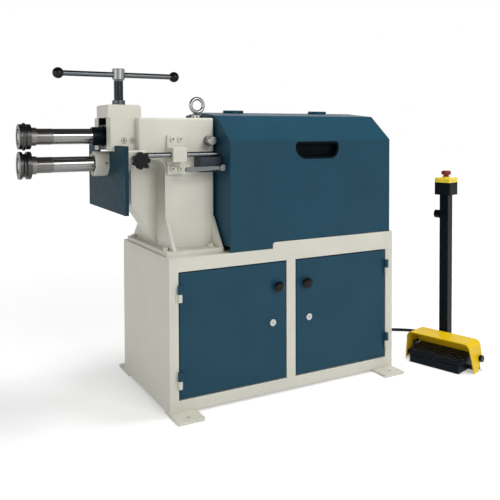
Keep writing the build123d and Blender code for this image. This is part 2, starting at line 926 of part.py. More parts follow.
with BuildPart() as tee_balls:
    with Locations((screw_x - tee_half, 0, tee_axis_z), (screw_x + tee_half, 0, tee_axis_z)):
        Sphere(tee_ball_radius)
    with BuildSketch(Plane.YZ.offset(screw_x)):
        with Locations((0, tee_axis_z)):
            Circle(tee_bar_radius + running_clearance)
    extrude(amount=bar_half, both=True, mode=Mode.SUBTRACT)
save(tee_balls, "tee_balls")

# Upper shaft bearings: a barrel bush in the block and a swivelling rear bearing
with BuildPart() as upper_front_bush:
    neck_step = sqrt(front_bush_radius**2 - front_bush_neck**2)
    end_radius = sqrt(front_bush_radius**2 - front_bush_half**2)
    with BuildSketch(upper_plane):
        with BuildLine():
            Polyline(
                (screw_x + front_bush_half, end_radius),
                (screw_x + front_bush_half, shaft_radius + running_clearance),
                (head_left - front_bush_reach, shaft_radius + running_clearance),
                (head_left - front_bush_reach, front_bush_neck - front_bush_chamfer),
                (head_left - front_bush_reach + front_bush_chamfer, front_bush_neck),
                (screw_x - neck_step, front_bush_neck),
            )
            ThreePointArc((screw_x - neck_step, front_bush_neck), (screw_x, front_bush_radius),
                          (screw_x + front_bush_half, end_radius))
        make_face()
    revolve(axis=upper_axis)
save(upper_front_bush, "upper_front_bush")

with BuildPart() as swivel_housing:
    with BuildSketch(Plane.YZ.offset(swivel_x - swivel_length / 2)):
        with Locations((0, upper_axis_z)):
            Circle(swivel_radius)
    extrude(amount=swivel_length)
    with BuildSketch(Plane.XZ):
        with Locations((swivel_x, upper_axis_z)):
            Circle(trunnion_radius)
    extrude(amount=ear_outer - trunnion_margin, both=True)
    with BuildSketch(Plane.YZ.offset(swivel_x - swivel_length / 2)):
        with Locations((0, upper_axis_z)):
            Circle(shaft_radius + running_clearance)
    extrude(amount=swivel_length, mode=Mode.SUBTRACT)
save(swivel_housing, "swivel_housing")

# Lower shaft housing: a tube seated in the casting, with a screwed ring at its open end
with BuildPart() as lower_bearing_housing:
    with BuildSketch(Plane.YZ.offset(housing_left)):
        with Locations((0, lower_axis_z)):
            Circle(housing_radius)
    extrude(amount=housing_reach + housing_seat)
    fillet(lower_bearing_housing.faces().sort_by(Axis.X)[0].edges(), housing_round)
    with BuildSketch(Plane.YZ.offset(housing_left)):
        with Locations((0, lower_axis_z)):
            Circle(bush_radius + running_clearance)
    extrude(amount=housing_reach + housing_seat, mode=Mode.SUBTRACT)
save(lower_bearing_housing, "lower_bearing_housing")

with BuildPart() as lower_bushes:
    for left, length in ((housing_left, housing_reach + housing_seat),
                         (swivel_x - swivel_length / 2, swivel_length)):
        with BuildSketch(Plane.YZ.offset(left)):
            with Locations((0, lower_axis_z)):
                Circle(bush_radius)
                Circle(shaft_radius + running_clearance, mode=Mode.SUBTRACT)
        extrude(amount=length)
save(lower_bushes, "lower_bushes")

# Shafts, each with a spigot for its die and a threaded stretch for the ring nut
upper_shaft_end = swivel_x + swivel_length / 2 + upper_shaft_overhang
lower_shaft_end = gearbox_left - lower_shaft_gap
spigot_left = die_left + spigot_sink


def shaft(plane, axis, right_end):
    """Round shaft with a die spigot at its left end."""
    with BuildPart() as bar:
        with BuildSketch(plane):
            with BuildLine():
                Polyline(
                    (spigot_left, 0),
                    (spigot_left, spigot_radius - shaft_chamfer),
                    (spigot_left + shaft_chamfer, spigot_radius),
                    (die_right, spigot_radius),
                    (die_right, shaft_radius),
                    (right_end - shaft_chamfer, shaft_radius),
                    (right_end, shaft_radius - shaft_chamfer),
                    (right_end, 0),
                    close=True,
                )
            make_face()
        revolve(axis=axis)
    return bar


def die_blank(plane, axis, outline, rim):
    """Turned die with a bore for the spigot and a recess for the end nut."""
    with BuildPart() as die:
        with BuildSketch(plane):
            with BuildLine():
                outline()
                Polyline(
                    (die_right, rim),
                    (die_right, spigot_radius + running_clearance),
                    (die_left + end_nut_depth, spigot_radius + running_clearance),
                    (die_left + end_nut_depth, end_nut_radius + end_nut_recess),
                    (die_left, end_nut_radius + end_nut_recess),
                    (die_left, rim),
                )
            make_face()
        revolve(axis=axis)
    return die


def bead_outline():
    """Upper die: a rounded bead stands out between two lower discs."""
    run = sqrt(die_bead_radius**2 - (die_bead_radius - die_step) ** 2)
    Polyline((die_left, die_low_radius), (bead_x - run, die_low_radius))
    ThreePointArc((bead_x - run, die_low_radius), (bead_x, die_radius), (bead_x + run, die_low_radius))
    Line((bead_x + run, die_low_radius), (die_right, die_low_radius))


def groove_outline():
    """Lower die: a rounded groove between two higher discs."""
    run = die_bead_radius + groove_margin
    Polyline((die_left, die_radius), (bead_x - run, die_radius))
    ThreePointArc((bead_x - run, die_radius), (bead_x, die_radius - run), (bead_x + run, die_radius))
    Line((bead_x + run, die_radius), (die_right, die_radius))


def shaft_nuts(axis_z, collar_left):
    """Ring nut behind the die, end nut in the die's face, and a collar against the rear bearing."""
    with BuildPart() as nuts:
        with BuildSketch(Plane.YZ.offset(die_right + ring_nut_gap)):
            with Locations((0, axis_z)):
                Circle(ring_nut_radius)
                Circle(shaft_radius + running_clearance, mode=Mode.SUBTRACT)
        extrude(amount=ring_nut_length)
        with BuildSketch(Plane.YZ.offset(spigot_left)):
            with Locations((0, axis_z)):
                RegularPolygon(end_nut_radius, 6)
                Circle(spigot_radius + running_clearance, mode=Mode.SUBTRACT)
        extrude(amount=end_nut_depth - spigot_sink)
        with BuildSketch(Plane.YZ.offset(collar_left)):
            with Locations((0, axis_z)):
                Circle(ring_nut_radius + collar_rim)
                Circle(shaft_radius + running_clearance, mode=Mode.SUBTRACT)
        extrude(amount=collar_length)
    return nuts


# Spur gears: involute flanks from the base circle, with a little backlash
gear_module = shaft_spacing / gear_teeth
pitch_radius = shaft_spacing / 2
pressure_angle = radians(20)
base_radius = pitch_radius * cos(pressure_angle)
tip_radius = pitch_radius + gear_module
root_radius = pitch_radius - gear_dedendum * gear_module


def involute_angle(radius):
    """Polar angle rolled off by the involute between the base circle and a radius."""
    roll = acos(min(1.0, base_radius / radius))
    return tan(roll) - roll


def gear(axis_z, turn):
    """Spur gear on a shaft at the given height, turned by half a tooth where asked."""
    tooth_angle = 2 * pi / gear_teeth
    half_tooth = tooth_angle / 4 - gear_backlash / (2 * pitch_radius)
    half_base = half_tooth + involute_angle(pitch_radius)
    radii = [base_radius + (tip_radius - base_radius) * i / flank_points for i in range(flank_points + 1)]
    flank = [(root_radius, half_base)] + [(r, half_base - involute_angle(r)) for r in radii]
    outline = []
    for tooth in range(gear_teeth):
        middle = tooth * tooth_angle + turn
        outline += [(r * cos(middle - a), axis_z + r * sin(middle - a)) for r, a in flank]
        outline += [(r * cos(middle + a), axis_z + r * sin(middle + a)) for r, a in reversed(flank)]
    with BuildPart() as wheel:
        with BuildSketch(Plane.YZ.offset(gear_left)):
            with BuildLine():
                Polyline(*outline, close=True)
            make_face()
            with Locations((0, axis_z)):
                Circle(shaft_radius + running_clearance, mode=Mode.SUBTRACT)
        extrude(amount=gear_width)
    return wheel


save(shaft(upper_plane, upper_axis, upper_shaft_end), "upper_shaft")
save(shaft(lower_plane, lower_axis, lower_shaft_end), "lower_shaft")
save(die_blank(upper_plane, upper_axis, bead_outline, die_low_radius), "upper_die")
save(die_blank(lower_plane, lower_axis, groove_outline, die_radius), "lower_die")
save(shaft_nuts(upper_axis_z, swivel_x + swivel_length / 2 + rest_gap), "upper_shaft_nuts")
save(shaft_nuts(lower_axis_z, swivel_x + swivel_length / 2 + rest_gap), "lower_shaft_nuts")
save(gear(lower_axis_z, pi / 2), "lower_gear")
save(gear(upper_axis_z, pi / 2 + pi / gear_teeth), "upper_gear")

# Drive stand: a plate with a forked bearing pedestal and a raised platform for the gear motor
ear_top_z = upper_axis_z + trunnion_radius + ear_rim
fork_z = lower_axis_z + bush_radius + pedestal_rim
waist_z = lower_axis_z - pedestal_waist
with BuildPart() as drive_stand:
    with BuildSketch(Plane.XY.offset(cabinet_top)):
        with Locations(((stand_left + stand_right) / 2, 0)):
            Rectangle(stand_right - stand_left, 2 * stand_half)
    extrude(amount=stand_plate)
    with BuildSketch(Plane.YZ.offset(swivel_x - swivel_length / 2)):
        with BuildLine():
            Polyline(
                (-ear_outer - pedestal_spread, cabinet_top + stand_plate),
                (-ear_outer, waist_z),
                (-ear_outer, ear_top_z),
                (-ear_inner, ear_top_z),
                (-ear_inner, fork_z),
                (ear_inner, fork_z),
                (ear_inner, ear_top_z),
                (ear_outer, ear_top_z),
                (ear_outer, waist_z),
                (ear_outer + pedestal_spread, cabinet_top + stand_plate),
                close=True,
            )
        make_face()
        with Locations((0, lower_axis_z)):
            Circle(bush_radius + running_clearance, mode=Mode.SUBTRACT)
    extrude(amount=swivel_length)
    with BuildSketch(Plane.XZ):
        with Locations((swivel_x, upper_axis_z)):
            Circle(trunnion_radius + running_clearance)
    extrude(amount=ear_outer, both=True, mode=Mode.SUBTRACT)
    for sign in (-1, 1):
        with Locations((platform_left + platform_length / 2, sign * (gearbox_half - platform_leg_inset),
                        (cabinet_top + stand_plate + platform_top) / 2)):
            Box(platform_length, platform_leg, platform_top - cabinet_top - stand_plate)
    with Locations((platform_left + platform_length / 2, 0, platform_top - stand_plate / 2)):
        Box(platform_length, 2 * (gearbox_half + platform_side_margin), stand_plate)
    with Locations(*[(x, y, cabinet_top + stand_plate) for x, y in stand_bolts]):
        Hole(foundation_bolt_radius + rest_gap, depth=stand_plate)
save(drive_stand, "drive_stand")

# Helical gear motor on the platform, with its output shaft in line with the lower shaft
gearbox_right = gearbox_left + gearbox_length
with BuildPart() as gearbox:
    with BuildSketch(Plane.YZ.offset(gearbox_left)):
        with BuildLine():
            Polyline(
                (gearbox_half, lower_axis_z),
                (gearbox_half, platform_top),
                (-gearbox_half, platform_top),
                (-gearbox_half, lower_axis_z),
            )
            ThreePointArc((-gearbox_half, lower_axis_z), (0, lower_axis_z + gearbox_half),
                          (gearbox_half, lower_axis_z))
        make_face()
    extrude(amount=gearbox_length)
    with BuildSketch(Plane.YZ.offset(gearbox_left - output_flange)):
        with Locations((0, lower_axis_z)):
            Circle(output_radius + output_flange_rim)
    extrude(amount=output_flange)
    for sign in (-1, 1):
        with Locations((gearbox_left + gearbox_length / 2, sign * gearbox_half,
                        lower_axis_z - side_pocket_drop)):
            Box(gearbox_length - 2 * side_pocket_margin, 2 * side_pocket_depth,
                2 * (gearbox_drop - side_pocket_drop - side_pocket_floor), mode=Mode.SUBTRACT)
    with BuildSketch(Plane.YZ.offset(gearbox_right)):
        with Locations((0, lower_axis_z)):
            Circle(motor_radius + motor_flange_rim)
    extrude(amount=motor_flange)
    with BuildSketch(Plane.YZ.offset(gearbox_left - output_flange)):
        with Locations((0, lower_axis_z)):
            Circle(output_radius + running_clearance)
    extrude(amount=output_flange + output_depth, mode=Mode.SUBTRACT)
save(gearbox, "gearbox")

motor_left = gearbox_right + motor_flange
with BuildPart() as motor:
    with BuildSketch(Plane.YZ.offset(motor_left)):
        with Locations((0, lower_axis_z)):
            Circle(motor_radius - fin_height)
            with PolarLocations(motor_radius - fin_height, fin_count):
                Rectangle(2 * fin_height, fin_thickness)
    extrude(amount=motor_length)
save(motor, "motor")

motor_right = motor_left + motor_length
with BuildPart() as motor_covers:
    with BuildSketch(Plane.YZ.offset(motor_right)):
        with Locations((0, lower_axis_z)):
            Circle(motor_radius + fan_cover_rim)
    extrude(amount=fan_cover_length)
    fillet(motor_covers.faces().sort_by(Axis.X)[-1].edges(), fan_cover_round)
    with Locations((motor_left + terminal_place, 0, lower_axis_z + motor_radius + terminal_height / 2)):
        Box(terminal_length, terminal_width, terminal_height)
save(motor_covers, "motor_covers")

with BuildPart() as shaft_coupling:
    left_hub = swivel_x + swivel_length / 2 + rest_gap + collar_length
    hub_face = lower_shaft_end + coupling_overlap
    jaw_circle = coupling_radius - jaw_depth / 2 - jaw_margin
    with BuildSketch(Plane.YZ.offset(left_hub)):
        with Locations((0, lower_axis_z)):
            Circle(coupling_radius)
            Circle(shaft_radius + running_clearance, mode=Mode.SUBTRACT)
    extrude(amount=hub_face - left_hub)
    with BuildSketch(Plane.YZ.offset(hub_face)):
        with Locations((0, lower_axis_z)):
            with PolarLocations(jaw_circle, jaw_count):
                Rectangle(jaw_depth, jaw_width)
    extrude(amount=coupling_spacing - jaw_gap)
    right_face = hub_face + coupling_spacing
    with BuildSketch(Plane.YZ.offset(right_face)):
        with Locations((0, lower_axis_z)):
            Circle(coupling_radius)
    extrude(amount=gearbox_left - coupling_end_gap - right_face)
    with BuildSketch(Plane.YZ.offset(right_face)):
        with Locations((0, lower_axis_z)):
            with PolarLocations(jaw_circle, jaw_count, start_angle=180 / jaw_count):
                Rectangle(jaw_depth, jaw_width)
    extrude(amount=-coupling_spacing + jaw_gap)
    with BuildSketch(Plane.YZ.offset(right_face)):
        with Locations((0, lower_axis_z)):
            Circle(output_radius)
    extrude(amount=gearbox_left + output_depth - output_margin - right_face)
save(shaft_coupling, "shaft_coupling")

# Depth gauge: plate around the lower housing, rod, hub and clamp knob
hub_left = gauge_right
knob_x = gauge_right + knob_from_plate
knob_z = rod_z - pinch_drop
with BuildPart() as gauge_plate:
    plate_top = lower_axis_z + gauge_plate_top
    plate_bottom = lower_axis_z - gauge_plate_bottom
    with BuildSketch(Plane.YZ.offset(gauge_left)):
        with Locations((0, (plate_top + plate_bottom) / 2)):
            RectangleRounded(2 * gauge_plate_half, plate_top - plate_bottom, gauge_plate_corner)
        slot_radius = housing_radius + gauge_bore_gap
        notch_bottom = beam_top - cheek_height - gauge_notch_gap
        with Locations((0, lower_axis_z)):
            Circle(slot_radius, mode=Mode.SUBTRACT)
        with Locations((0, (lower_axis_z + plate_top) / 2)):
            Rectangle(2 * slot_radius, plate_top - lower_axis_z, mode=Mode.SUBTRACT)
        with Locations((0, (notch_bottom + plate_top) / 2)):
            Rectangle(2 * (cheek_outer + gauge_notch_gap), plate_top - notch_bottom, mode=Mode.SUBTRACT)
    extrude(amount=gauge_plate_thickness)
save(gauge_plate, "gauge_plate")

with BuildPart() as gauge_rod:
    with BuildSketch(Plane.YZ.offset(gauge_right)):
        with Locations((rod_y, rod_z)):
            Circle(rod_radius)
    extrude(amount=rod_end - gauge_right)
    chamfer(gauge_rod.faces().sort_by(Axis.X)[-1].edges(), rod_chamfer)
save(gauge_rod, "gauge_rod")

with BuildPart() as gauge_hub:
    with Locations((hub_left + hub_length / 2, rod_y, rod_z - hub_drop)):
        Box(hub_length, 2 * hub_half, 2 * hub_half)
    fillet(gauge_hub.edges().filter_by(Axis.X), hub_corner)
    with BuildSketch(Plane.YZ.offset(hub_left)):
        with Locations((rod_y, rod_z)):
            Circle(rod_radius + running_clearance)
        with Locations((rod_y, rod_z - hub_half)):
            Rectangle(pinch_slot, 2 * hub_half)
    extrude(amount=hub_length, mode=Mode.SUBTRACT)
    with BuildSketch(Plane.XZ.offset(-rod_y + hub_half)):
        with Locations((knob_x, knob_z)):
            Circle(knob_stud + running_clearance)
    extrude(amount=-2 * hub_half, mode=Mode.SUBTRACT)
save(gauge_hub, "gauge_hub")

with BuildPart() as star_knob:
    knob_face = Plane.XZ.offset(-rod_y + hub_half + rest_gap)
    with BuildSketch(knob_face):
        with Locations((knob_x, knob_z)):
            Circle(star_neck_radius)
    extrude(amount=star_neck_length)
    with BuildSketch(knob_face.offset(star_neck_length)):
        with Locations((knob_x, knob_z)):
            lobe = star_lobe_share * star_knob_radius
            Circle(star_knob_radius - lobe)
            with PolarLocations(star_knob_radius - lobe, star_lobes):
                Circle(lobe)
    extrude(amount=star_head_length)
    with BuildSketch(knob_face):
        with Locations((knob_x, knob_z)):
            Circle(knob_stud)
    extrude(amount=-2 * hub_half)
save(star_knob, "star_knob")

bracket_left = column_left + bracket_from_column
bracket_screws = [
    (bracket_left + bracket_width / 2 + dx, z)
    for dx in (-bracket_screw_spread, bracket_screw_spread)
    for z in (rod_z + bracket_above_rod - bracket_screw_from_top,
              rod_z - bracket_below_rod + bracket_screw_from_bottom)
]
bracket_face = Plane.XZ.offset(casting_half + bracket_thickness)
with BuildPart() as gauge_bracket:
    with BuildSketch(Plane.XZ.offset(casting_half)):
        with Locations((bracket_left + bracket_width / 2,
                        rod_z + (bracket_above_rod - bracket_below_rod) / 2)):
            RectangleRounded(bracket_width, bracket_above_rod + bracket_below_rod, bracket_corner)
    extrude(amount=bracket_thickness)
    with BuildSketch(bracket_face):
        with Locations((bracket_left + bracket_block_length / 2, rod_z)):
            Rectangle(bracket_block_length, 2 * bracket_block_half)
    extrude(amount=bracket_block_depth)
    fillet(gauge_bracket.faces().sort_by(Axis.Y)[0].edges(), bracket_round)
    with BuildSketch(Plane.YZ.offset(bracket_left)):
        with Locations((rod_y, rod_z)):
            Circle(rod_radius + running_clearance)
    extrude(amount=bracket_block_length, mode=Mode.SUBTRACT)
    with BuildSketch(bracket_face):
        with Locations(*bracket_screws):
            Circle(bracket_screw_radius + running_clearance)
    extrude(amount=-bracket_thickness, mode=Mode.SUBTRACT)
save(gauge_bracket, "gauge_bracket")

rest_right = casting_right + rest_overhang
rest_top = rod_z - rod_radius - rest_gap
rest_bottom = rod_z - rest_below_rod
lever_x = rest_right - lever_from_end
lever_z = rod_z - lever_below_rod
lever_tip = (lever_x - lever_length, lever_z - lever_tip_drop)
with BuildPart() as rod_rest_block:
    with Locations((rest_right - rest_length / 2, -casting_half - rest_depth / 2,
                    (rest_top + rest_bottom) / 2)):
        Box(rest_length, rest_depth, rest_top - rest_bottom)
    chamfer(rod_rest_block.faces().sort_by(Axis.Y)[0].edges(), rest_chamfer)
    with BuildSketch(Plane.XZ.offset(casting_half + rest_depth)):
        with Locations((lever_x, lever_z)):
            Circle(lever_pin_radius + running_clearance)
    extrude(amount=-rest_depth + rest_back_wall, mode=Mode.SUBTRACT)
save(rod_rest_block, "rod_rest_block")

with BuildPart() as clamp_lever:
    lever_face = Plane.XZ.offset(casting_half + rest_depth + lever_stand_off)
    with BuildSketch(lever_face):
        with Locations((lever_x, lever_z)):
            Circle(lever_hub_radius)
    extrude(amount=lever_hub_length)
    chamfer(clamp_lever.faces().sort_by(Axis.Y)[0].edges(), lever_chamfer)
    with BuildSketch(lever_face.offset(lever_arm_offset)):
        with BuildLine():
            Polyline(
                (lever_x, lever_z + lever_root_half),
                (lever_tip[0], lever_tip[1] + lever_tip_radius),
                (lever_tip[0], lever_tip[1] - lever_tip_radius),
                (lever_x, lever_z - lever_root_half),
                close=True,
            )
        make_face()
        with Locations(lever_tip):
            Circle(lever_tip_radius)
    extrude(amount=lever_arm)
    with BuildSketch(lever_face):
        with Locations((lever_x, lever_z)):
            Circle(lever_pin_radius)
    extrude(amount=-rest_depth - lever_pin_reach)
save(clamp_lever, "clamp_lever")

# Collared pin on the casting front, and the lifting eye on the beam
pin_x = casting_right - pin_inset
pin_z = upper_axis_z - pin_drop
with BuildPart() as stop_pin:
    for start, radius, length in pin_discs:
        with BuildSketch(Plane.XZ.offset(casting_half + start)):
            with Locations((pin_x, pin_z)):
                Circle(radius)
        extrude(amount=length)
    chamfer(stop_pin.faces().sort_by(Axis.Y)[0].edges(), pin_chamfer)
save(stop_pin, "stop_pin")

eye_x = casting_right - eye_inset
with BuildPart() as eye_bolt:
    with Locations(Location((eye_x, eye_y, beam_top + eye_rise), (90, 0, 0))):
        Torus(eye_ring, eye_wire)
    with BuildSketch(Plane.XY.offset(beam_top)):
        with Locations((eye_x, eye_y)):
            Circle(eye_flange_radius)
    extrude(amount=eye_flange_height)
    with BuildSketch(Plane.XY.offset(beam_top + eye_flange_height)):
        with Locations((eye_x, eye_y)):
            Circle(eye_neck_radius)
    extrude(amount=eye_rise - eye_ring - eye_flange_height, taper=eye_neck_taper)
save(eye_bolt, "eye_bolt")


# Fasteners: hex bolts through the flange and the stand, socket screws in the head and bracket
def hex_bolt(head_z, grip):
    """Hex bolt with its washer, seated at the given height and reaching down through its grip."""
    with BuildPart() as bolt:
        with BuildSketch(Plane.XY.offset(head_z)):
            Circle(foundation_washer_radius)
        extrude(amount=washer_thickness)
        with BuildSketch(Plane.XY.offset(head_z + washer_thickness)):
            RegularPolygon(foundation_washer_radius - washer_rim, 6)
        extrude(amount=bolt_head_height)
        with BuildSketch(Plane.XY.offset(head_z)):
            Circle(foundation_bolt_radius)
        extrude(amount=-grip)
    return bolt.part


with BuildPart() as foundation_bolts:
    with Locations(*[(x, y, 0) for x, y in foundation_holes]):
        add(hex_bolt(flange_top, flange_thickness + top_plate + bolt_overhang))
    with Locations(*[(x, y, 0) for x, y in stand_bolts]):
        add(hex_bolt(cabinet_top + stand_plate, stand_plate + top_plate + bolt_overhang))
save(foundation_bolts, "foundation_bolts")

with BuildPart() as socket_screws:
    for sign in (-1, 1):
        cheek_bore = Plane(origin=(0, sign * (cheek_outer - gib_screw_bore), gib_screw_z),
                           x_dir=(1, 0, 0), z_dir=(0, sign, 0))
        with BuildSketch(cheek_bore):
            with Locations(*[(x, 0) for x in gib_screw_x]):
                Circle(gib_screw_head)
                RegularPolygon(gib_screw_socket, 6, mode=Mode.SUBTRACT)
        extrude(amount=gib_screw_bore - gib_screw_sink)
        with BuildSketch(cheek_bore):
            with Locations(*[(x, 0) for x in gib_screw_x]):
                Circle(gib_screw_radius)
        extrude(amount=-(cheek_outer - gib_screw_bore - cheek_inner + gib_thickness - gib_screw_gap))
    with BuildSketch(Plane.XY.offset(cap_top - cap_screw_depth)):
        with Locations(*cap_screws):
            Circle(cap_screw_head)
    extrude(amount=cap_screw_height)
    with BuildSketch(Plane.XY.offset(cap_top - cap_screw_depth)):
        with Locations(*cap_screws):
            Circle(cap_screw_radius)
    extrude(amount=-(cap_height - cap_screw_depth))
    with BuildSketch(bracket_face):
        with Locations(*bracket_screws):
            Circle(bracket_screw_head)
            RegularPolygon(bracket_screw_socket, 6, mode=Mode.SUBTRACT)
    extrude(amount=bracket_screw_height)
    with BuildSketch(bracket_face):
        with Locations(*bracket_screws):
            Circle(bracket_screw_radius)
    extrude(amount=-bracket_thickness)
save(socket_screws, "socket_screws")

# Drive guard: fixed rear half with both end panels; the hood closes its front
ridge_z = cabinet_top + ridge_height
front_fold = (-half_depth, cabinet_top + hood_fold_height)
top_fold = (hood_top_fold_y, cabinet_top + hood_top_fold_height)
ridge = (ridge_y, ridge_z)
rear_fold = (rear_fold_y, cabinet_top + rear_fold_height)
back_fold = (half_depth, cabinet_top + hood_fold_height)
hood_bottom = cabinet_top + hood_gap
guard_length = guard_right - guard_left
panel_gap = guard_sheet + rest_gap
panel_bottom = flange_top + panel_drop
panel_opening_top = upper_axis_z + panel_opening_rise
with BuildPart() as rear_guard:
    with BuildSketch(Plane.YZ.offset(guard_left)):
        with BuildLine():
            Polyline((ridge_y + seam_half, ridge_z), rear_fold, back_fold, (half_depth, hood_bottom))
            offset(amount=guard_sheet, side=Side.RIGHT)
        make_face()
    extrude(amount=guard_length)
    for left in (guard_left, guard_right - guard_sheet):
        with BuildSketch(Plane.YZ.offset(left)):
            with BuildLine():
                Polyline((-half_depth, panel_bottom), front_fold, top_fold, ridge, rear_fold, back_fold,
                         (half_depth, panel_bottom), close=True)
            make_face()
            offset(amount=-panel_gap, mode=Mode.REPLACE)
            Polygon((ridge_y + seam_half, panel_bottom), (ridge_y + seam_half, ridge_z - panel_overlap),
                    (rear_fold[0], rear_fold[1] - panel_overlap),
                    (back_fold[0] - panel_overlap, back_fold[1]),
                    (half_depth - panel_overlap, panel_bottom), align=None)
        extrude(amount=guard_sheet)
    with BuildSketch(Plane.YZ.offset(guard_left)):
        with Locations((0, (hood_bottom + panel_opening_top) / 2)):
            Rectangle(2 * panel_opening_half, panel_opening_top - hood_bottom)
    extrude(amount=guard_sheet, mode=Mode.SUBTRACT)
    with BuildSketch(Plane.XZ.offset(-half_depth)):
        with Locations(((guard_left + guard_right) / 2, cabinet_top + hood_fold_height / 2)):
            with GridLocations(louvre_length + louvre_column_gap, louvre_pitch, louvre_columns, louvre_rows):
                SlotOverall(louvre_length, louvre_width)
    extrude(amount=2 * guard_sheet, both=True, mode=Mode.SUBTRACT)
save(rear_guard, "rear_guard")

hinge_y = ridge_y + seam_half
hinge_z = ridge_z + hood_hinge_radius
hinge_inset = hood_hinge_share * guard_length
hinge_middles = [guard_left + hinge_inset, guard_right - hinge_inset]
knuckle = hood_hinge_length / 3
with BuildPart() as hood_hinges:
    for middle in hinge_middles:
        for shift in (-knuckle, knuckle):
            with BuildSketch(Plane.YZ.offset(middle + shift - knuckle / 2 + rest_gap)):
                with Locations((hinge_y, hinge_z)):
                    Circle(hood_hinge_radius)
            extrude(amount=knuckle - 2 * rest_gap)
            with BuildSketch(Plane.YZ.offset(middle + shift - knuckle / 2 + rest_gap)):
                with BuildLine():
                    rear_slope = (ridge_z - rear_fold[1]) / (rear_fold_y - ridge_y)
                    Polyline((hinge_y, ridge_z),
                             (hinge_y + hood_leaf_width, ridge_z - hood_leaf_width * rear_slope))
                    offset(amount=hood_leaf_sheet, side=Side.LEFT)
                make_face()
            extrude(amount=knuckle - 2 * rest_gap)
        with BuildSketch(Plane.YZ.offset(middle - hood_hinge_length / 2)):
            with Locations((hinge_y, hinge_z)):
                Circle(hood_hinge_radius / 2)
        extrude(amount=hood_hinge_length)
save(hood_hinges, "hood_hinges")

# Hood: front, slope and top in one folded sheet, notched at its lower edge, with a handle cut-out
handle_top = cabinet_top + hood_fold_height - handle_top_drop
handle_x = handle_left + handle_width / 2
handle_z = handle_top - handle_height / 2


def handle_outline(margin):
    """Outline of the recessed handle with rounded upper corners, drawn in by a margin."""
    outline = Rectangle(handle_width - 2 * margin, handle_height - 2 * margin)
    fillet(outline.vertices().group_by(Axis.Y)[-1], handle_top_round - margin)


hood_edge = (ridge_y - seam_half, ridge_z - hood_edge_drop)


with BuildPart() as hood:
    with BuildSketch(Plane.YZ.offset(guard_left)):
        with BuildLine():
            Polyline((-half_depth, hood_bottom), front_fold, top_fold, hood_edge)
            offset(amount=guard_sheet, side=Side.RIGHT)
        make_face()
    extrude(amount=guard_length)
    with BuildSketch(front_plane):
        with BuildLine():
            Polyline(
                (lip_start - hood_gap, cabinet_top),
                (lip_start - hood_gap, cabinet_top + lip_height + hood_gap),
                (guard_right, cabinet_top + lip_height + hood_gap),
                (guard_right, cabinet_top),
                close=True,
            )
        notch = make_face()
        fillet(notch.vertices().group_by(Axis.X)[0].sort_by(Axis.Y)[-1], lip_radius + hood_gap)
    extrude(amount=-2 * guard_sheet, mode=Mode.SUBTRACT)
    with BuildSketch(Plane(origin=(handle_x, -half_depth, handle_z), x_dir=(1, 0, 0), z_dir=(0, -1, 0))):
        handle_outline(handle_rim)
    extrude(amount=-2 * guard_sheet, mode=Mode.SUBTRACT)
    for middle in hinge_middles:
        with BuildSketch(Plane.YZ.offset(middle - knuckle / 2 + rest_gap)):
            with BuildLine():
                slope = (ridge_z - top_fold[1]) / (ridge_y - hood_top_fold_y)
                leaf_start = (hood_edge[0] - hood_leaf_width, hood_edge[1] - hood_leaf_width * slope)
                Polyline(leaf_start, hood_edge)
                offset(amount=hood_leaf_sheet, side=Side.LEFT)
            make_face()
            with Locations((hinge_y, hinge_z)):
                Circle(hood_hinge_radius)
        extrude(amount=knuckle - 2 * rest_gap)
        with BuildSketch(Plane.YZ.offset(middle - hood_hinge_length / 2)):
            with Locations((hinge_y, hinge_z)):
                Circle(hood_hinge_radius / 2 + running_clearance)
        extrude(amount=hood_hinge_length, mode=Mode.SUBTRACT)
save(hood, "hood")

with BuildPart() as hood_handle:
    handle_plane = Plane(origin=(handle_x, -half_depth, handle_z), x_dir=(1, 0, 0), z_dir=(0, -1, 0))
    with BuildSketch(handle_plane):
        handle_outline(0)
    extrude(amount=handle_rim_height)
    with BuildSketch(handle_plane):
        handle_outline(handle_rim + running_clearance)
    extrude(amount=-handle_depth)
    with BuildSketch(handle_plane.offset(handle_rim_height)):
        handle_outline(handle_rim + handle_wall)
    extrude(amount=-handle_depth, mode=Mode.SUBTRACT)
save(hood_handle, "hood_handle")

# Foot pedal stand: yellow hood over the tread, square post, emergency stop on top
turn = radians(pedal_turn)
pedal_side = (sin(turn), -cos(turn), 0)
pedal_rear = (cos(turn), sin(turn), 0)
pedal_origin = (pedal_x, pedal_y, 0)
pedal_plane = Plane(origin=pedal_origin, x_dir=pedal_side, z_dir=(0, 0, 1))
pedal_front_view = Plane(origin=pedal_origin, x_dir=pedal_side, z_dir=(-cos(turn), -sin(turn), 0))
pedal_side_view = Plane(origin=pedal_origin, x_dir=pedal_rear, z_dir=pedal_side)
guard_lean = (guard_foot_half - guard_top_half) / guard_height
base_back = post_back + post_side / 2 + pedal_base_margin
switch_top = pedal_base_thickness + switch_height
pin_back = switch_front + pedal_pin_from_front
pin_height = switch_top + pedal_barrel_radius + pedal_barrel_gap
tread_bottom = pin_height + pedal_barrel_radius
lip_bottom = tread_bottom - pedal_lip
ear_top = side_screw_height + ear_above_screw
ear_half = guard_foot_half - guard_lean * ear_top - guard_sheet - ear_gap


def guard_section(inset):
    """Front outline of the pedal hood, drawn in by the sheet for its inside."""
    top = guard_height - inset
    foot = guard_foot_half - inset
    shoulder = foot - guard_lean * top
    outline = Polygon((foot, 0), (shoulder, top), (-shoulder, top), (-foot, 0), align=None)
    fillet(outline.vertices().group_by(Axis.Y)[-1], guard_round - inset)


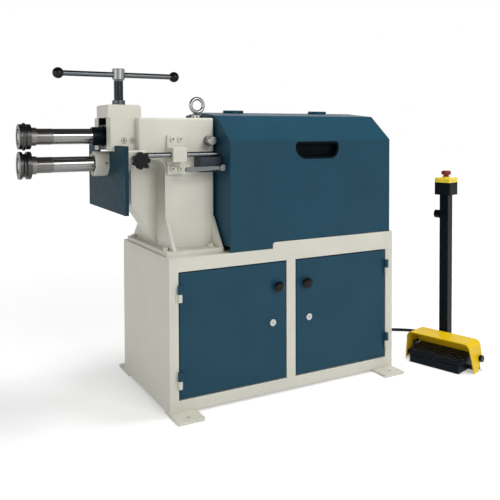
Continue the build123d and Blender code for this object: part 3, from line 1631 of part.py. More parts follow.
with BuildPart() as pedal_guard:
    with BuildSketch(pedal_front_view):
        guard_section(0)
    extrude(amount=-guard_depth)
    with BuildSketch(pedal_front_view):
        guard_section(guard_sheet)
    extrude(amount=-guard_depth + guard_sheet, mode=Mode.SUBTRACT)
    with BuildSketch(pedal_side_view):
        with BuildLine():
            Polyline((guard_leg_set_back + guard_leg_depth, 0), (guard_depth, guard_back_cut * guard_height),
                     (guard_depth, 0), close=True)
        make_face()
        with BuildLine():
            Polyline((0, 0), (0, guard_front_cut * guard_height), (guard_leg_set_back, 0), close=True)
        make_face()
        with Locations((side_screw_back, side_screw_height)):
            Circle(side_screw_radius + running_clearance)
    extrude(amount=guard_foot_half, both=True, mode=Mode.SUBTRACT)
save(pedal_guard, "pedal_guard")

with BuildPart() as pedal_stand:
    with BuildSketch(pedal_plane):
        with Locations((0, (switch_front + base_back) / 2)):
            Rectangle(2 * switch_half, base_back - switch_front)
        with Locations((0, side_screw_back)):
            Rectangle(2 * ear_half, ear_width)
    extrude(amount=pedal_base_thickness)
    for left in (-ear_half, ear_half - ear_thickness):
        with BuildSketch(pedal_side_view.offset(left)):
            with Locations((side_screw_back, ear_top / 2)):
                Rectangle(ear_width, ear_top)
            with Locations((side_screw_back, side_screw_height)):
                Circle(side_screw_radius + running_clearance, mode=Mode.SUBTRACT)
        extrude(amount=ear_thickness)
    with BuildSketch(pedal_side_view):
        with Locations(((switch_front + switch_back) / 2, switch_top / 2)):
            Rectangle(switch_back - switch_front, switch_top)
    extrude(amount=switch_half, both=True)
    for left in (-switch_half, switch_half - pin_block_length):
        with BuildSketch(pedal_side_view.offset(left)):
            with Locations((pin_back, (switch_top + pin_height) / 2)):
                Rectangle(pin_block_width, pin_height - switch_top + pin_block_rim)
        extrude(amount=pin_block_length)
    with BuildSketch(pedal_side_view):
        with Locations((pin_back, pin_height)):
            Circle(pedal_pin_radius)
    extrude(amount=switch_half, both=True)
    with BuildSketch(pedal_plane):
        with Locations((post_offset, post_back)):
            Rectangle(post_side, post_side)
    extrude(amount=post_top)
    with BuildSketch(pedal_plane.offset(pedal_base_thickness)):
        with Locations((post_offset, post_back)):
            Rectangle(post_side - 2 * post_wall, post_side - 2 * post_wall)
    extrude(amount=post_top - pedal_base_thickness, mode=Mode.SUBTRACT)
    with BuildSketch(pedal_front_view.offset(-post_back)):
        with Locations((post_offset, post_gland_height)):
            Circle(gland_thread_radius + running_clearance)
    extrude(amount=-post_side, mode=Mode.SUBTRACT)
    with BuildSketch(pedal_side_view.offset(post_offset)):
        with Locations((post_back, post_knob_height)):
            Circle(side_screw_radius + running_clearance)
    extrude(amount=-post_side, mode=Mode.SUBTRACT)
save(pedal_stand, "pedal_stand")

with BuildPart() as foot_pedal:
    with BuildSketch(pedal_side_view):
        with BuildLine():
            Polyline(
                (pedal_front, lip_bottom),
                (pedal_front, tread_bottom + pedal_thickness),
                (pedal_back, tread_bottom + pedal_thickness + pedal_rise),
                (pedal_back, tread_bottom + pedal_rise),
                (pedal_front + pedal_lip_sheet, tread_bottom),
                (pedal_front + pedal_lip_sheet, lip_bottom),
                close=True,
            )
        make_face()
    extrude(amount=pedal_half, both=True)
    skirt = pedal_half - switch_half - pedal_skirt_gap
    for left in (-pedal_half, pedal_half - skirt):
        with BuildSketch(pedal_side_view.offset(left)):
            with BuildLine():
                Polyline(
                    (pedal_front, lip_bottom),
                    (pedal_front, tread_bottom + pedal_skirt_overlap),
                    (pedal_back, tread_bottom + pedal_rise + pedal_skirt_overlap),
                    (pedal_back, tread_bottom),
                    close=True,
                )
            make_face()
        extrude(amount=skirt)
    with BuildSketch(pedal_side_view):
        with Locations((pin_back, pin_height)):
            Circle(pedal_barrel_radius)
        with Locations((pin_back, pin_height + pedal_barrel_radius / 2 + pedal_barrel_gap)):
            Rectangle(2 * pedal_barrel_radius, pedal_barrel_radius + 2 * pedal_barrel_gap)
    extrude(amount=switch_half - pedal_barrel_end_gap, both=True)
    with BuildSketch(pedal_side_view):
        with Locations((pin_back, pin_height)):
            Circle(pedal_pin_radius + running_clearance)
    extrude(amount=switch_half, both=True, mode=Mode.SUBTRACT)
save(foot_pedal, "foot_pedal")

with BuildPart() as pedal_knobs:
    knob_seat = guard_foot_half - guard_lean * (side_screw_height - side_knob_radius) + rest_gap
    for sign in (-1, 1):
        knob_plane = Plane(origin=pedal_side_view.from_local_coords((side_screw_back, side_screw_height, 0)),
                           x_dir=pedal_rear, z_dir=tuple(sign * v for v in pedal_side))
        with BuildSketch(knob_plane.offset(knob_seat)):
            Circle(side_knob_radius)
        extrude(amount=side_knob_length)
        with BuildSketch(knob_plane.offset(ear_half - ear_thickness)):
            Circle(side_screw_radius)
        extrude(amount=knob_seat - ear_half + ear_thickness)
    post_side_plane = Plane(
        origin=pedal_side_view.from_local_coords((post_back, post_knob_height, post_offset - post_side / 2)),
        x_dir=pedal_rear, z_dir=tuple(-v for v in pedal_side))
    with BuildSketch(post_side_plane):
        Circle(post_knob_neck_radius)
    extrude(amount=post_knob_neck)
    with BuildSketch(post_side_plane.offset(post_knob_neck)):
        Circle(post_knob_radius)
    extrude(amount=post_knob_length)
    with BuildSketch(post_side_plane):
        Circle(side_screw_radius)
    extrude(amount=-post_side / 2)
save(pedal_knobs, "pedal_knobs")

estop_lid_bottom = post_top + estop_box_height
estop_lid_top = estop_lid_bottom + estop_lid_height
estop_head_bottom = estop_lid_top + estop_collar_height + estop_travel + estop_gap
with BuildPart() as estop_box:
    with BuildSketch(pedal_plane.offset(post_top)):
        with Locations((post_offset, post_back)):
            RectangleRounded(estop_side, estop_side, estop_corner)
    extrude(amount=estop_box_height)
    with BuildSketch(pedal_plane.offset(estop_lid_bottom - 2 * estop_travel)):
        with Locations((post_offset, post_back)):
            Circle(estop_stem_radius + rest_gap)
    extrude(amount=2 * estop_travel, mode=Mode.SUBTRACT)
save(estop_box, "estop_box")

with BuildPart() as estop_lid:
    with BuildSketch(pedal_plane.offset(estop_lid_bottom)):
        with Locations((post_offset, post_back)):
            RectangleRounded(estop_side, estop_side, estop_corner)
    extrude(amount=estop_lid_height)
    fillet(estop_lid.faces().sort_by(Axis.Z)[-1].edges(), estop_lid_round)
    with BuildSketch(pedal_plane.offset(estop_lid_top)):
        with Locations((post_offset, post_back)):
            Circle(estop_stem_radius + estop_collar_rim)
    extrude(amount=estop_collar_height)
    with BuildSketch(pedal_plane.offset(estop_lid_bottom)):
        with Locations((post_offset, post_back)):
            Circle(estop_stem_radius + running_clearance)
    extrude(amount=estop_lid_height + estop_collar_height, mode=Mode.SUBTRACT)
save(estop_lid, "estop_lid")

with BuildPart() as estop_button:
    stem_length = estop_head_bottom - estop_lid_bottom - estop_stem_margin
    with BuildSketch(pedal_plane.offset(estop_head_bottom - stem_length)):
        with Locations((post_offset, post_back)):
            Circle(estop_stem_radius)
    extrude(amount=stem_length)
    with BuildSketch(pedal_plane.offset(estop_head_bottom)):
        with Locations((post_offset, post_back)):
            Circle(estop_radius)
    extrude(amount=estop_head_height)
    fillet(estop_button.faces().sort_by(Axis.Z)[-1].edges(), estop_head_round)
save(estop_button, "estop_button")


# Cable from the pedal stand to the back wall of the cabinet, with a gland at each end
def gland(plane):
    """Cable gland: threaded stub in the wall, hexagon, and a tapered boot with the cable bore."""
    with BuildPart() as fitting:
        with BuildSketch(plane.offset(-gland_thread_length)):
            Circle(gland_thread_radius)
        extrude(amount=gland_thread_length)
        with BuildSketch(plane):
            RegularPolygon(gland_radius, 6)
        extrude(amount=gland_hex_height)
        with BuildSketch(plane.offset(gland_hex_height)):
            Circle(gland_radius - gland_boot_step)
        extrude(amount=gland_length - gland_hex_height, taper=gland_taper)
        with BuildSketch(plane.offset(-gland_thread_length)):
            Circle(cable_radius + running_clearance)
        extrude(amount=gland_length + gland_thread_length, mode=Mode.SUBTRACT)
    return fitting.part


post_gland_plane = Plane(
    origin=pedal_side_view.from_local_coords((post_back + post_side / 2, post_gland_height, post_offset)),
    x_dir=pedal_side, z_dir=pedal_rear)
wall_gland_plane = Plane(origin=(wall_gland_x, half_depth, wall_gland_height),
                         x_dir=(-1, 0, 0), z_dir=(0, 1, 0))
with BuildPart() as cable_glands:
    add(gland(post_gland_plane))
    add(gland(wall_gland_plane))
save(cable_glands, "cable_glands")

cable_route = [
    tuple(post_gland_plane.origin),
    tuple(post_gland_plane.from_local_coords((0, 0, cable_straight))),
    (965, -150, 12),
    (985, -60, cable_radius),
    (965, 30, cable_radius),
    (902, 109, cable_radius),
    (773, 185, cable_radius),
    (640, 275, cable_radius),
    (505, 350, cable_radius),
    (350, 385, cable_radius),
    (200, 396, cable_radius),
    (80, 420, 10),
    (wall_gland_x + 70, half_depth + 160, 35),
    (wall_gland_x, half_depth + 105, wall_gland_height),
    tuple(wall_gland_plane.origin),
]


def bend_radius(before, corner, after):
    """Radius that uses a share of the shorter of the two runs meeting at a corner."""
    run_in = Vector(*corner) - Vector(*before)
    run_out = Vector(*after) - Vector(*corner)
    half_turn = radians(run_in.get_angle(run_out)) / 2
    return bend_share * min(run_in.length, run_out.length) / tan(half_turn)


cable_bends = [bend_radius(*cable_route[i - 1:i + 2]) for i in range(1, len(cable_route) - 1)]
with BuildPart() as pedal_cable:
    with BuildLine() as cable_line:
        FilletPolyline(*cable_route, radius=cable_bends)
    with BuildSketch(Plane(origin=cable_line.line @ 0, z_dir=cable_line.line % 0)):
        Circle(cable_radius)
    sweep(path=cable_line.line)
save(pedal_cable, "pedal_cable")
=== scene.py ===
import bpy
import bmesh
import math
from mathutils import Matrix, Vector


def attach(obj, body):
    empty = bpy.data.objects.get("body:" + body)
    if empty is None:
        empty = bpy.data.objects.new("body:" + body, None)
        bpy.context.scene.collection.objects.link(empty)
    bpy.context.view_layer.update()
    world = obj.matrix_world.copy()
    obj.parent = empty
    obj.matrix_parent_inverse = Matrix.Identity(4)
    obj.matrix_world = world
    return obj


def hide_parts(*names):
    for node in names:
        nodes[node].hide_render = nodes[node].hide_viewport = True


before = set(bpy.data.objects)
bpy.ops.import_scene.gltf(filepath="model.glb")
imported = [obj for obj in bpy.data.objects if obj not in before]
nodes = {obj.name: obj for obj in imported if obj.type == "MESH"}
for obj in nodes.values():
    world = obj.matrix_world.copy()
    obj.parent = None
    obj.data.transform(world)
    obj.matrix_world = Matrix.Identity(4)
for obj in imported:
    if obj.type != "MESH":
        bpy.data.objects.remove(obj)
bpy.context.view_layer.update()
scene = bpy.context.scene
scene.view_settings.view_transform = "Standard"

# Sizes shared with the solids, in metres
LOWER_Z = 0.883
UPPER_Z = 0.983
SHAFT_RADIUS = 0.028
SHAFT_THREAD = (-0.8965, -0.8385)
SHAFT_THREAD_MARGIN = 0.001
SHAFT_THREAD_DEPTH = 0.0009
SHAFT_PITCH = 0.003
SCREW_X = -0.595
SCREW_RADIUS = 0.0165
SCREW_THREAD = (1.066, 1.186)
SCREW_THREAD_DEPTH = 0.0012
SCREW_PITCH = 0.004
THREAD_SINK = 0.0002
THREAD_ROOT_SHARE = 0.42
THREAD_CREST_SHARE = 0.16
HOUSING_LEFT = -0.694
HOUSING_RADIUS = 0.045
HOUSING_BORE = 0.036
HOUSING_SCREWS = 6
HOUSING_SCREW_START = 15
HOUSING_SCREW_HEIGHT = 0.002
SMALL_SCREW_RADIUS = 0.0034
SMALL_SCREW_HEIGHT = 0.0016
BOSS_FRONT = -0.045
CASTING_FRONT = -0.130
HALF_DEPTH = 0.25
LOUVRE_MIDDLE = (0.1125, 0.760)
LOUVRE_LENGTH = 0.150
LOUVRE_PITCH = 0.034
LOUVRE_ROWS = 5
LOUVRE_COLUMN_PITCH = 0.240
LOUVRE_END_SHARE = 0.54
LOUVRE_FLAT_SHARE = 0.42
LOUVRE_RISE = 0.009
LOUVRE_SINK = 0.0005
LOUVRE_TOP = 0.013
LOUVRE_UNDER_TOP = 0.009
LOUVRE_LIP = 0.004
LOUVRE_LIP_EDGE = 0.001
LOUVRE_LIP_SET_BACK = 0.0003
TREAD_FRONT = (-0.034, 0.050)
TREAD_BACK = (0.080, 0.064)
TREAD_HALF = 0.120
TREAD_COLUMNS = 15
TREAD_ROWS = 6
TREAD_ROW_START = 0.6
LOZENGE_FOOT = (0.0078, 0.0026, -0.0003)
LOZENGE_TOP = (0.0058, 0.0014, 0.0013)
LOZENGE_TURN = 45
LID_MIDDLE = (-0.040, 0.150)
LID_TOP = 0.791
LID_SCREW_REACH = 0.029
LID_SCREW_SINK = 0.0004
GRIP_X = (0.023, 0.223)
GRIP_Z = (0.892, 0.958)
GRIP_ROUNDS = {"lower_right": 0.038, "upper_right": 0.016, "upper_left": 0.016, "lower_left": 0.049}
GRIP_DEPTH = 0.026
GRIP_RIM = 0.006
GRIP_RISE = 0.003
GRIP_WALL = 0.003
GRIP_EDGE = 0.0008
GRIP_TAPER = 0.002
GRIP_CORNER_LAP = 0.002
GRIP_CORNER_HALF = 0.0005
LOCK_X = 0.082
LOCK_FRONT = -0.2535
LOCK_Z = 0.276
KEY_SLOT_HALF_WIDTH = 0.0008
KEY_SLOT_HALF_LENGTH = 0.0045
KEY_SLOT_RISE = (-0.0005, 0.0002)
CABLE_RADIUS = 0.007
CABLE_STRAIGHT = 0.084
CABLE_EXIT = (-0.040, 0.170, 0.035)
PEDAL_ORIGIN = Vector((0.682, -0.327, 0))
PEDAL_TURN = math.radians(17.2)
PEDAL_SIDE = Vector((math.sin(PEDAL_TURN), -math.cos(PEDAL_TURN), 0))
PEDAL_REAR = Vector((math.cos(PEDAL_TURN), math.sin(PEDAL_TURN), 0))

# Camera of the photograph
CAMERA_PLACE = (-1.3474, -2.3816, 1.0018)
CAMERA_AZIMUTH = math.radians(-28.753)
CAMERA_PITCH = math.radians(1.64)
CAMERA_ROLL = math.radians(-0.198)
CAMERA_LENS = 47.53
CAMERA_SHIFT = -0.201

# Set screws of the frame, as (place, radius)
SET_SCREWS = (
    ((-0.656, 0.001 - HOUSING_RADIUS, LOWER_Z + 0.003), 0.0042),
    ((-0.499, BOSS_FRONT, 0.867), 0.0050),
    ((-0.270, CASTING_FRONT, 0.880), 0.0045),
)

# Light of the surround and the floor
CEILING_RISE = (0.20, 0.50)
CEILING_LIGHT = 0.10
FILL_LIGHT = 0.42
FLOOR_SIZE = 40
FLOOR_LIFT = (0.32, 0.66)
FLOOR_FADE = (1.2, 4.0)


def pedal_point(side, rear, height):
    """Point of the pedal stand's own frame, in the part's frame."""
    return PEDAL_ORIGIN + PEDAL_SIDE * side + PEDAL_REAR * rear + Vector((0, 0, height))


# Materials
def new_material(name):
    """A material with its principled shader, ready for more nodes."""
    mat = bpy.data.materials.new(name)
    mat.use_nodes = True
    tree = mat.node_tree
    return mat, tree, tree.nodes["Principled BSDF"]


def coordinates(tree, stretch=(1, 1, 1)):
    """Object coordinates in metres, stretched along the axes where asked."""
    place = tree.nodes.new("ShaderNodeTexCoord")
    mapping = tree.nodes.new("ShaderNodeMapping")
    mapping.inputs["Scale"].default_value = stretch
    tree.links.new(place.outputs["Object"], mapping.inputs["Vector"])
    return mapping.outputs["Vector"]


def noise(tree, vector, scale, detail=3.0, roughness=0.55):
    """Noise factor at a scale per metre."""
    node = tree.nodes.new("ShaderNodeTexNoise")
    node.inputs["Scale"].default_value = scale
    node.inputs["Detail"].default_value = detail
    node.inputs["Roughness"].default_value = roughness
    tree.links.new(vector, node.inputs["Vector"])
    return node.outputs["Fac"]


def ramp(tree, factor, stops):
    """Colour ramp from a factor; stops are (position, colour)."""
    node = tree.nodes.new("ShaderNodeValToRGB")
    elements = node.color_ramp.elements
    while len(elements) < len(stops):
        elements.new(0.5)
    for element, (position, color) in zip(elements, stops):
        element.position = position
        element.color = (*color, 1)
    tree.links.new(factor, node.inputs["Fac"])
    return node.outputs["Color"]


def spread(tree, factor, low, high):
    """Maps a factor between 0.3 and 0.7 onto the range low to high."""
    node = tree.nodes.new("ShaderNodeMapRange")
    node.inputs["From Min"].default_value = 0.3
    node.inputs["From Max"].default_value = 0.7
    node.inputs["To Min"].default_value = low
    node.inputs["To Max"].default_value = high
    tree.links.new(factor, node.inputs["Value"])
    return node.outputs["Result"]


def bump(tree, shader, factor, strength, distance, edge=0.0):
    """Adds a fine relief to a shader, over edges softened by a radius where one is given."""
    node = tree.nodes.new("ShaderNodeBump")
    node.inputs["Strength"].default_value = strength
    node.inputs["Distance"].default_value = distance
    tree.links.new(factor, node.inputs["Height"])
    if edge:
        soften = tree.nodes.new("ShaderNodeBevel")
        soften.inputs["Radius"].default_value = edge
        tree.links.new(soften.outputs["Normal"], node.inputs["Normal"])
    tree.links.new(node.outputs["Normal"], shader.inputs["Normal"])


def shade(color, gain):
    """A colour made lighter or darker."""
    return tuple(min(1.0, c * gain) for c in color)


def paint(name, color, roughness=0.42, variation=0.10, peel=0.10, gloss=0.4, edge=0.0015):
    """Sprayed enamel: slight mottling, orange peel, uneven gloss and soft edges."""
    mat, tree, shader = new_material(name)
    place = coordinates(tree)
    cloud = noise(tree, place, scale=5.0)
    stops = [(0.25, shade(color, 1 - variation)), (0.55, color), (0.8, shade(color, 1 + variation / 2))]
    tree.links.new(ramp(tree, cloud, stops), shader.inputs["Base Color"])
    polish = noise(tree, place, scale=40.0)
    tree.links.new(spread(tree, polish, roughness - 0.05, roughness + 0.06), shader.inputs["Roughness"])
    shader.inputs["Specular IOR Level"].default_value = gloss
    skin = noise(tree, place, scale=420.0, detail=2.0)
    bump(tree, shader, skin, strength=peel, distance=0.0006, edge=edge)
    return mat


def above(tree, vector, height):
    """Factor that is 1 above a height and 0 below it."""
    parts = tree.nodes.new("ShaderNodeSeparateXYZ")
    tree.links.new(vector, parts.inputs["Vector"])
    step = tree.nodes.new("ShaderNodeMath")
    step.operation = "GREATER_THAN"
    step.inputs[1].default_value = height
    tree.links.new(parts.outputs["Z"], step.inputs[0])
    return step.outputs[0]


def metal(name, color, roughness, stretch=(1, 1, 1), grain=0.04, scale=220.0, edge=0.0006, bright=None):
    """Machined metal with fine tool marks; bright is the (height, colour) of a lighter colour above that
    height.
    """
    mat, tree, shader = new_material(name)
    shader.inputs["Metallic"].default_value = 1.0
    place = coordinates(tree, stretch)
    plain = coordinates(tree)
    marks = noise(tree, place, scale, detail=4.0)
    stain = noise(tree, plain, scale=14.0)
    tint = ramp(tree, stain, [(0.3, shade(color, 0.93)), (0.6, color), (0.8, shade(color, 1.03))])
    if bright:
        height, top_color = bright
        mixer = tree.nodes.new("ShaderNodeMix")
        mixer.data_type = "RGBA"
        mixer.inputs["B"].default_value = (*top_color, 1)
        tree.links.new(tint, mixer.inputs["A"])
        tree.links.new(above(tree, plain, height), mixer.inputs["Factor"])
        tint = mixer.outputs["Result"]
    tree.links.new(tint, shader.inputs["Base Color"])
    tree.links.new(spread(tree, marks, roughness - 0.05, roughness + 0.06), shader.inputs["Roughness"])
    bump(tree, shader, marks, strength=grain, distance=0.0003, edge=edge)
    return mat


def plastic(name, color, roughness, grain=0.06, scale=700.0, gloss=0.4):
    """Moulded plastic or rubber with a fine texture."""
    mat, tree, shader = new_material(name)
    place = coordinates(tree)
    cloud = noise(tree, place, scale=30.0)
    stops = [(0.3, shade(color, 0.85)), (0.7, shade(color, 1.1))]
    tree.links.new(ramp(tree, cloud, stops), shader.inputs["Base Color"])
    polish = noise(tree, place, scale=90.0)
    tree.links.new(spread(tree, polish, roughness - 0.05, roughness + 0.07), shader.inputs["Roughness"])
    shader.inputs["Specular IOR Level"].default_value = gloss
    skin = noise(tree, place, scale, detail=2.0)
    bump(tree, shader, skin, strength=grain, distance=0.0003, edge=0.0008)
    return mat


ALONG_X = (1, 0.05, 0.05)
cream = paint("cream_enamel", (0.665, 0.655, 0.570), 0.42, variation=0.06)
casting_cream = paint("casting_enamel", (0.685, 0.675, 0.590), 0.46, variation=0.07, peel=0.25, edge=0.003)
blue = paint("blue_enamel", (0.014, 0.061, 0.097), 0.34, variation=0.12, gloss=0.13)
# The gauge plate has the hood's blue paint; this darker copy is painted shade for the shadow of the head
# and shafts on it
shaded_plate_blue = paint("plate_enamel_painted_shade", (0.010, 0.040, 0.060), 0.50, variation=0.15, gloss=0.06)
grey = paint("grey_enamel", (0.20, 0.22, 0.24), 0.45)
dark_block = paint("dark_block_enamel", (0.030, 0.042, 0.054), 0.40, variation=0.15, gloss=0.25)
black_paint = paint("black_enamel", (0.0025, 0.0062, 0.0115), 0.30, variation=0.2, gloss=0.09)
tread_black = paint("tread_black", (0.010, 0.012, 0.014), 0.20, gloss=1.0)
yellow = paint("yellow_enamel", (0.84, 0.56, 0.005), 0.36, variation=0.06, gloss=0.2)
steel = metal("ground_steel", (0.25, 0.25, 0.245), 0.16, ALONG_X)
screw_steel = metal("screw_steel", (0.045, 0.050, 0.056), 0.30,
                    bright=(SCREW_THREAD[1], (0.26, 0.27, 0.265)))
thread_steel = metal("threaded_steel", (0.20, 0.19, 0.18), 0.40, ALONG_X)
dark_steel = metal("dark_steel", (0.105, 0.112, 0.120), 0.32)
rod_steel = metal("rod_steel", (0.17, 0.18, 0.185), 0.28, ALONG_X)
tool_steel = metal("tool_steel", (0.075, 0.072, 0.070), 0.34, ALONG_X)
zinc = metal("zinc_plate", (0.36, 0.36, 0.35), 0.24, scale=90.0)
chrome = metal("chrome_plate", (0.48, 0.48, 0.48), 0.14, grain=0.02)
bronze = metal("bronze", (0.24, 0.17, 0.10), 0.36, ALONG_X)
black_plastic = plastic("black_plastic", (0.004, 0.004, 0.005), 0.20, gloss=0.2)
matte_plastic = plastic("matte_plastic", (0.003, 0.006, 0.008), 0.42, grain=0.12, gloss=0.10)
grip_plastic = plastic("grip_plastic", (0.001, 0.003, 0.005), 0.38, gloss=0.04)
yellow_plastic = plastic("yellow_plastic", (0.94, 0.70, 0.05), 0.36)
red_plastic = plastic("red_plastic", (0.21, 0.028, 0.018), 0.32, gloss=0.25)
rubber = plastic("cable_rubber", (0.008, 0.008, 0.009), 0.46, gloss=0.2)

FINISH = {
    cream: ["cabinet_shell", "cabinet_feet", "frame_hinges", "head_cap", "lower_bearing_housing",
            "gauge_bracket", "gauge_hub", "foundation_bolts", "socket_screws"],
    casting_cream: ["frame_casting"],
    blue: ["hood", "rear_guard", "left_door", "right_door", "hood_hinges"],
    shaded_plate_blue: ["gauge_plate"],
    steel: ["upper_shaft", "lower_shaft", "guide_gibs"],
    rod_steel: ["gauge_rod", "clamp_lever"],
    tool_steel: ["upper_die", "lower_die", "upper_gear", "lower_gear", "shaft_coupling", "swivel_housing"],
    thread_steel: ["upper_shaft_nuts", "lower_shaft_nuts"],
    dark_steel: ["stop_nut", "screw_nut", "tee_bar"],
    screw_steel: ["adjusting_screw"],
    black_paint: ["bearing_block", "upper_front_bush", "pedal_stand", "foot_pedal"],
    dark_block: ["rod_rest_block"],
    zinc: ["eye_bolt", "stop_pin"],
    bronze: ["lower_bushes"],
    grey: ["drive_stand", "gearbox", "motor", "motor_covers", "control_box"],
    black_plastic: ["left_door_knob", "right_door_knob", "hood_handle", "star_knob", "tee_balls",
                    "pedal_knobs"],
    chrome: ["left_door_lock", "right_door_lock"],
    yellow: ["pedal_guard"],
    yellow_plastic: ["estop_lid"],
    matte_plastic: ["estop_box", "cable_glands"],
    red_plastic: ["estop_button"],
    rubber: ["pedal_cable"],
}
for mat, names in FINISH.items():
    for name in names:
        mesh = nodes[name].data
        mesh.materials.clear()
        mesh.materials.append(mat)


# Shapes of the small pieces
def add_piece(name, shape, mat, body):
    """Turns a bmesh into a piece that rides on a body."""
    bmesh.ops.recalc_face_normals(shape, faces=shape.faces)
    mesh = bpy.data.meshes.new(name)
    shape.to_mesh(mesh)
    shape.free()
    mesh.materials.append(mat)
    piece = bpy.data.objects.new(name, mesh)
    scene.collection.objects.link(piece)
    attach(piece, body)
    return piece


def standing_on(place, axis):
    """Matrix that puts a shape's own Z axis along a direction at a place."""
    return Matrix.Translation(place) @ Vector(axis).to_track_quat("Z", "Y").to_matrix().to_4x4()


def add_ring_stack(shape, rings, matrix):
    """Closed skin through rings of points, all with the same count, with a flat end at each side."""
    rows = [[shape.verts.new(matrix @ Vector(point)) for point in ring] for ring in rings]
    count = len(rows[0])
    for low, high in zip(rows, rows[1:]):
        for i in range(count):
            shape.faces.new((low[i], low[(i + 1) % count], high[(i + 1) % count], high[i]))
    shape.faces.new(rows[0])
    shape.faces.new(rows[-1])


def circle(radius, height, count):
    """Points of a level circle."""
    return [(radius * math.cos(2 * math.pi * i / count), radius * math.sin(2 * math.pi * i / count), height)
            for i in range(count)]


def hexagon(apothem, height, count):
    """Points along a level hexagon, as many as a circle would have."""
    points = []
    for i in range(count):
        angle = 2 * math.pi * i / count
        radius = apothem / math.cos(angle % (math.pi / 3) - math.pi / 6)
        points.append((radius * math.cos(angle), radius * math.sin(angle), height))
    return points


def add_socket_screw(shape, place, axis, radius, height, count=36):
    """Round screw head with a hexagon socket."""
    chamfer = 0.14 * radius
    socket = 0.5 * radius
    socket_floor = 0.3 * height
    rings = [
        circle(radius, 0, count),
        circle(radius, height - chamfer, count),
        circle(radius - chamfer, height, count),
        hexagon(socket, height, count),
        hexagon(socket, socket_floor, count),
    ]
    add_ring_stack(shape, rings, standing_on(place, axis))


def add_helix(shape, place, axis, radius, depth, pitch, length, steps=40):
    """Raised thread with a trapezoid section, wound round an axis from a place on it."""
    matrix = standing_on(place, axis)
    section = [
        (radius, -THREAD_ROOT_SHARE),
        (radius + depth, -THREAD_CREST_SHARE),
        (radius + depth, THREAD_CREST_SHARE),
        (radius, THREAD_ROOT_SHARE),
    ]
    rows = []
    for i in range(int(length / pitch * steps) + 1):
        angle = 2 * math.pi * i / steps
        height = pitch * i / steps
        points = [(r * math.cos(angle), r * math.sin(angle), height + rise * pitch) for r, rise in section]
        rows.append([shape.verts.new(matrix @ Vector(point)) for point in points])
    for low, high in zip(rows, rows[1:]):
        for i in range(len(section)):
            following = (i + 1) % len(section)
            shape.faces.new((low[i], low[following], high[following], high[i]))
    shape.faces.new(rows[0])
    shape.faces.new(rows[-1])


# Threads of the adjusting screw and of the shafts behind the dies
def add_threads():
    """Raised threads over the plain cylinders of the solids."""
    shape = bmesh.new()
    low, high = SCREW_THREAD
    add_helix(shape, (SCREW_X, 0, low), (0, 0, 1), SCREW_RADIUS - THREAD_SINK, SCREW_THREAD_DEPTH,
              SCREW_PITCH, high - low)
    add_piece("screw_thread", shape, screw_steel, "screw")
    left, right = SHAFT_THREAD
    for name, height in (("upper", UPPER_Z), ("lower", LOWER_Z)):
        shape = bmesh.new()
        add_helix(shape, (left + SHAFT_THREAD_MARGIN, 0, height), (1, 0, 0), SHAFT_RADIUS - THREAD_SINK,
                  SHAFT_THREAD_DEPTH, SHAFT_PITCH, right - left - 2 * SHAFT_THREAD_MARGIN)
        add_piece(f"{name}_shaft_thread", shape, thread_steel, f"{name}_roll")


add_threads()


# Small screws of the frame
def add_housing_screws():
    """Six socket screws in the housing's end face."""
    shape = bmesh.new()
    middle = (HOUSING_RADIUS + HOUSING_BORE) / 2
    for i in range(HOUSING_SCREWS):
        angle = math.radians(360 / HOUSING_SCREWS * i + HOUSING_SCREW_START)
        place = (HOUSING_LEFT, middle * math.cos(angle), LOWER_Z + middle * math.sin(angle))
        add_socket_screw(shape, place, (-1, 0, 0), SMALL_SCREW_RADIUS, HOUSING_SCREW_HEIGHT)
    add_piece("housing_screws", shape, dark_steel, "base")


def add_set_screws():
    """Set screws in the side of the housing, in the boss and in the frame's front."""
    shape = bmesh.new()
    for place, radius in SET_SCREWS:
        add_socket_screw(shape, place, (0, -1, 0), radius, SMALL_SCREW_HEIGHT)
    add_piece("set_screws", shape, dark_steel, "base")


def add_lid_screws():
    """Four screws in the corners of the emergency stop's lid."""
    shape = bmesh.new()
    for side in (-LID_SCREW_REACH, LID_SCREW_REACH):
        for rear in (-LID_SCREW_REACH, LID_SCREW_REACH):
            place = pedal_point(LID_MIDDLE[0] + side, LID_MIDDLE[1] + rear, LID_TOP - LID_SCREW_SINK)
            add_socket_screw(shape, place, (0, 0, 1), SMALL_SCREW_RADIUS, SMALL_SCREW_HEIGHT)
    add_piece("lid_screws", shape, zinc, "base")


def add_shaded_key_slots():
    """Dark plate in the face of each door lock, painted shade that stands for the shadowed hollow of its
    key slot.
    """
    half_width, half_length = KEY_SLOT_HALF_WIDTH, KEY_SLOT_HALF_LENGTH
    for name, across in (("left_lock", -LOCK_X), ("right_lock", LOCK_X)):
        shape = bmesh.new()
        rings = [[(-half_width, -half_length, rise), (half_width, -half_length, rise),
                  (half_width, half_length, rise), (-half_width, half_length, rise)]
                 for rise in KEY_SLOT_RISE]
        add_ring_stack(shape, rings, standing_on((across, LOCK_FRONT, LOCK_Z), (0, -1, 0)))
        add_piece(f"{name}_slot", shape, matte_plastic, name)


add_housing_screws()
add_set_screws()
add_lid_screws()
add_shaded_key_slots()


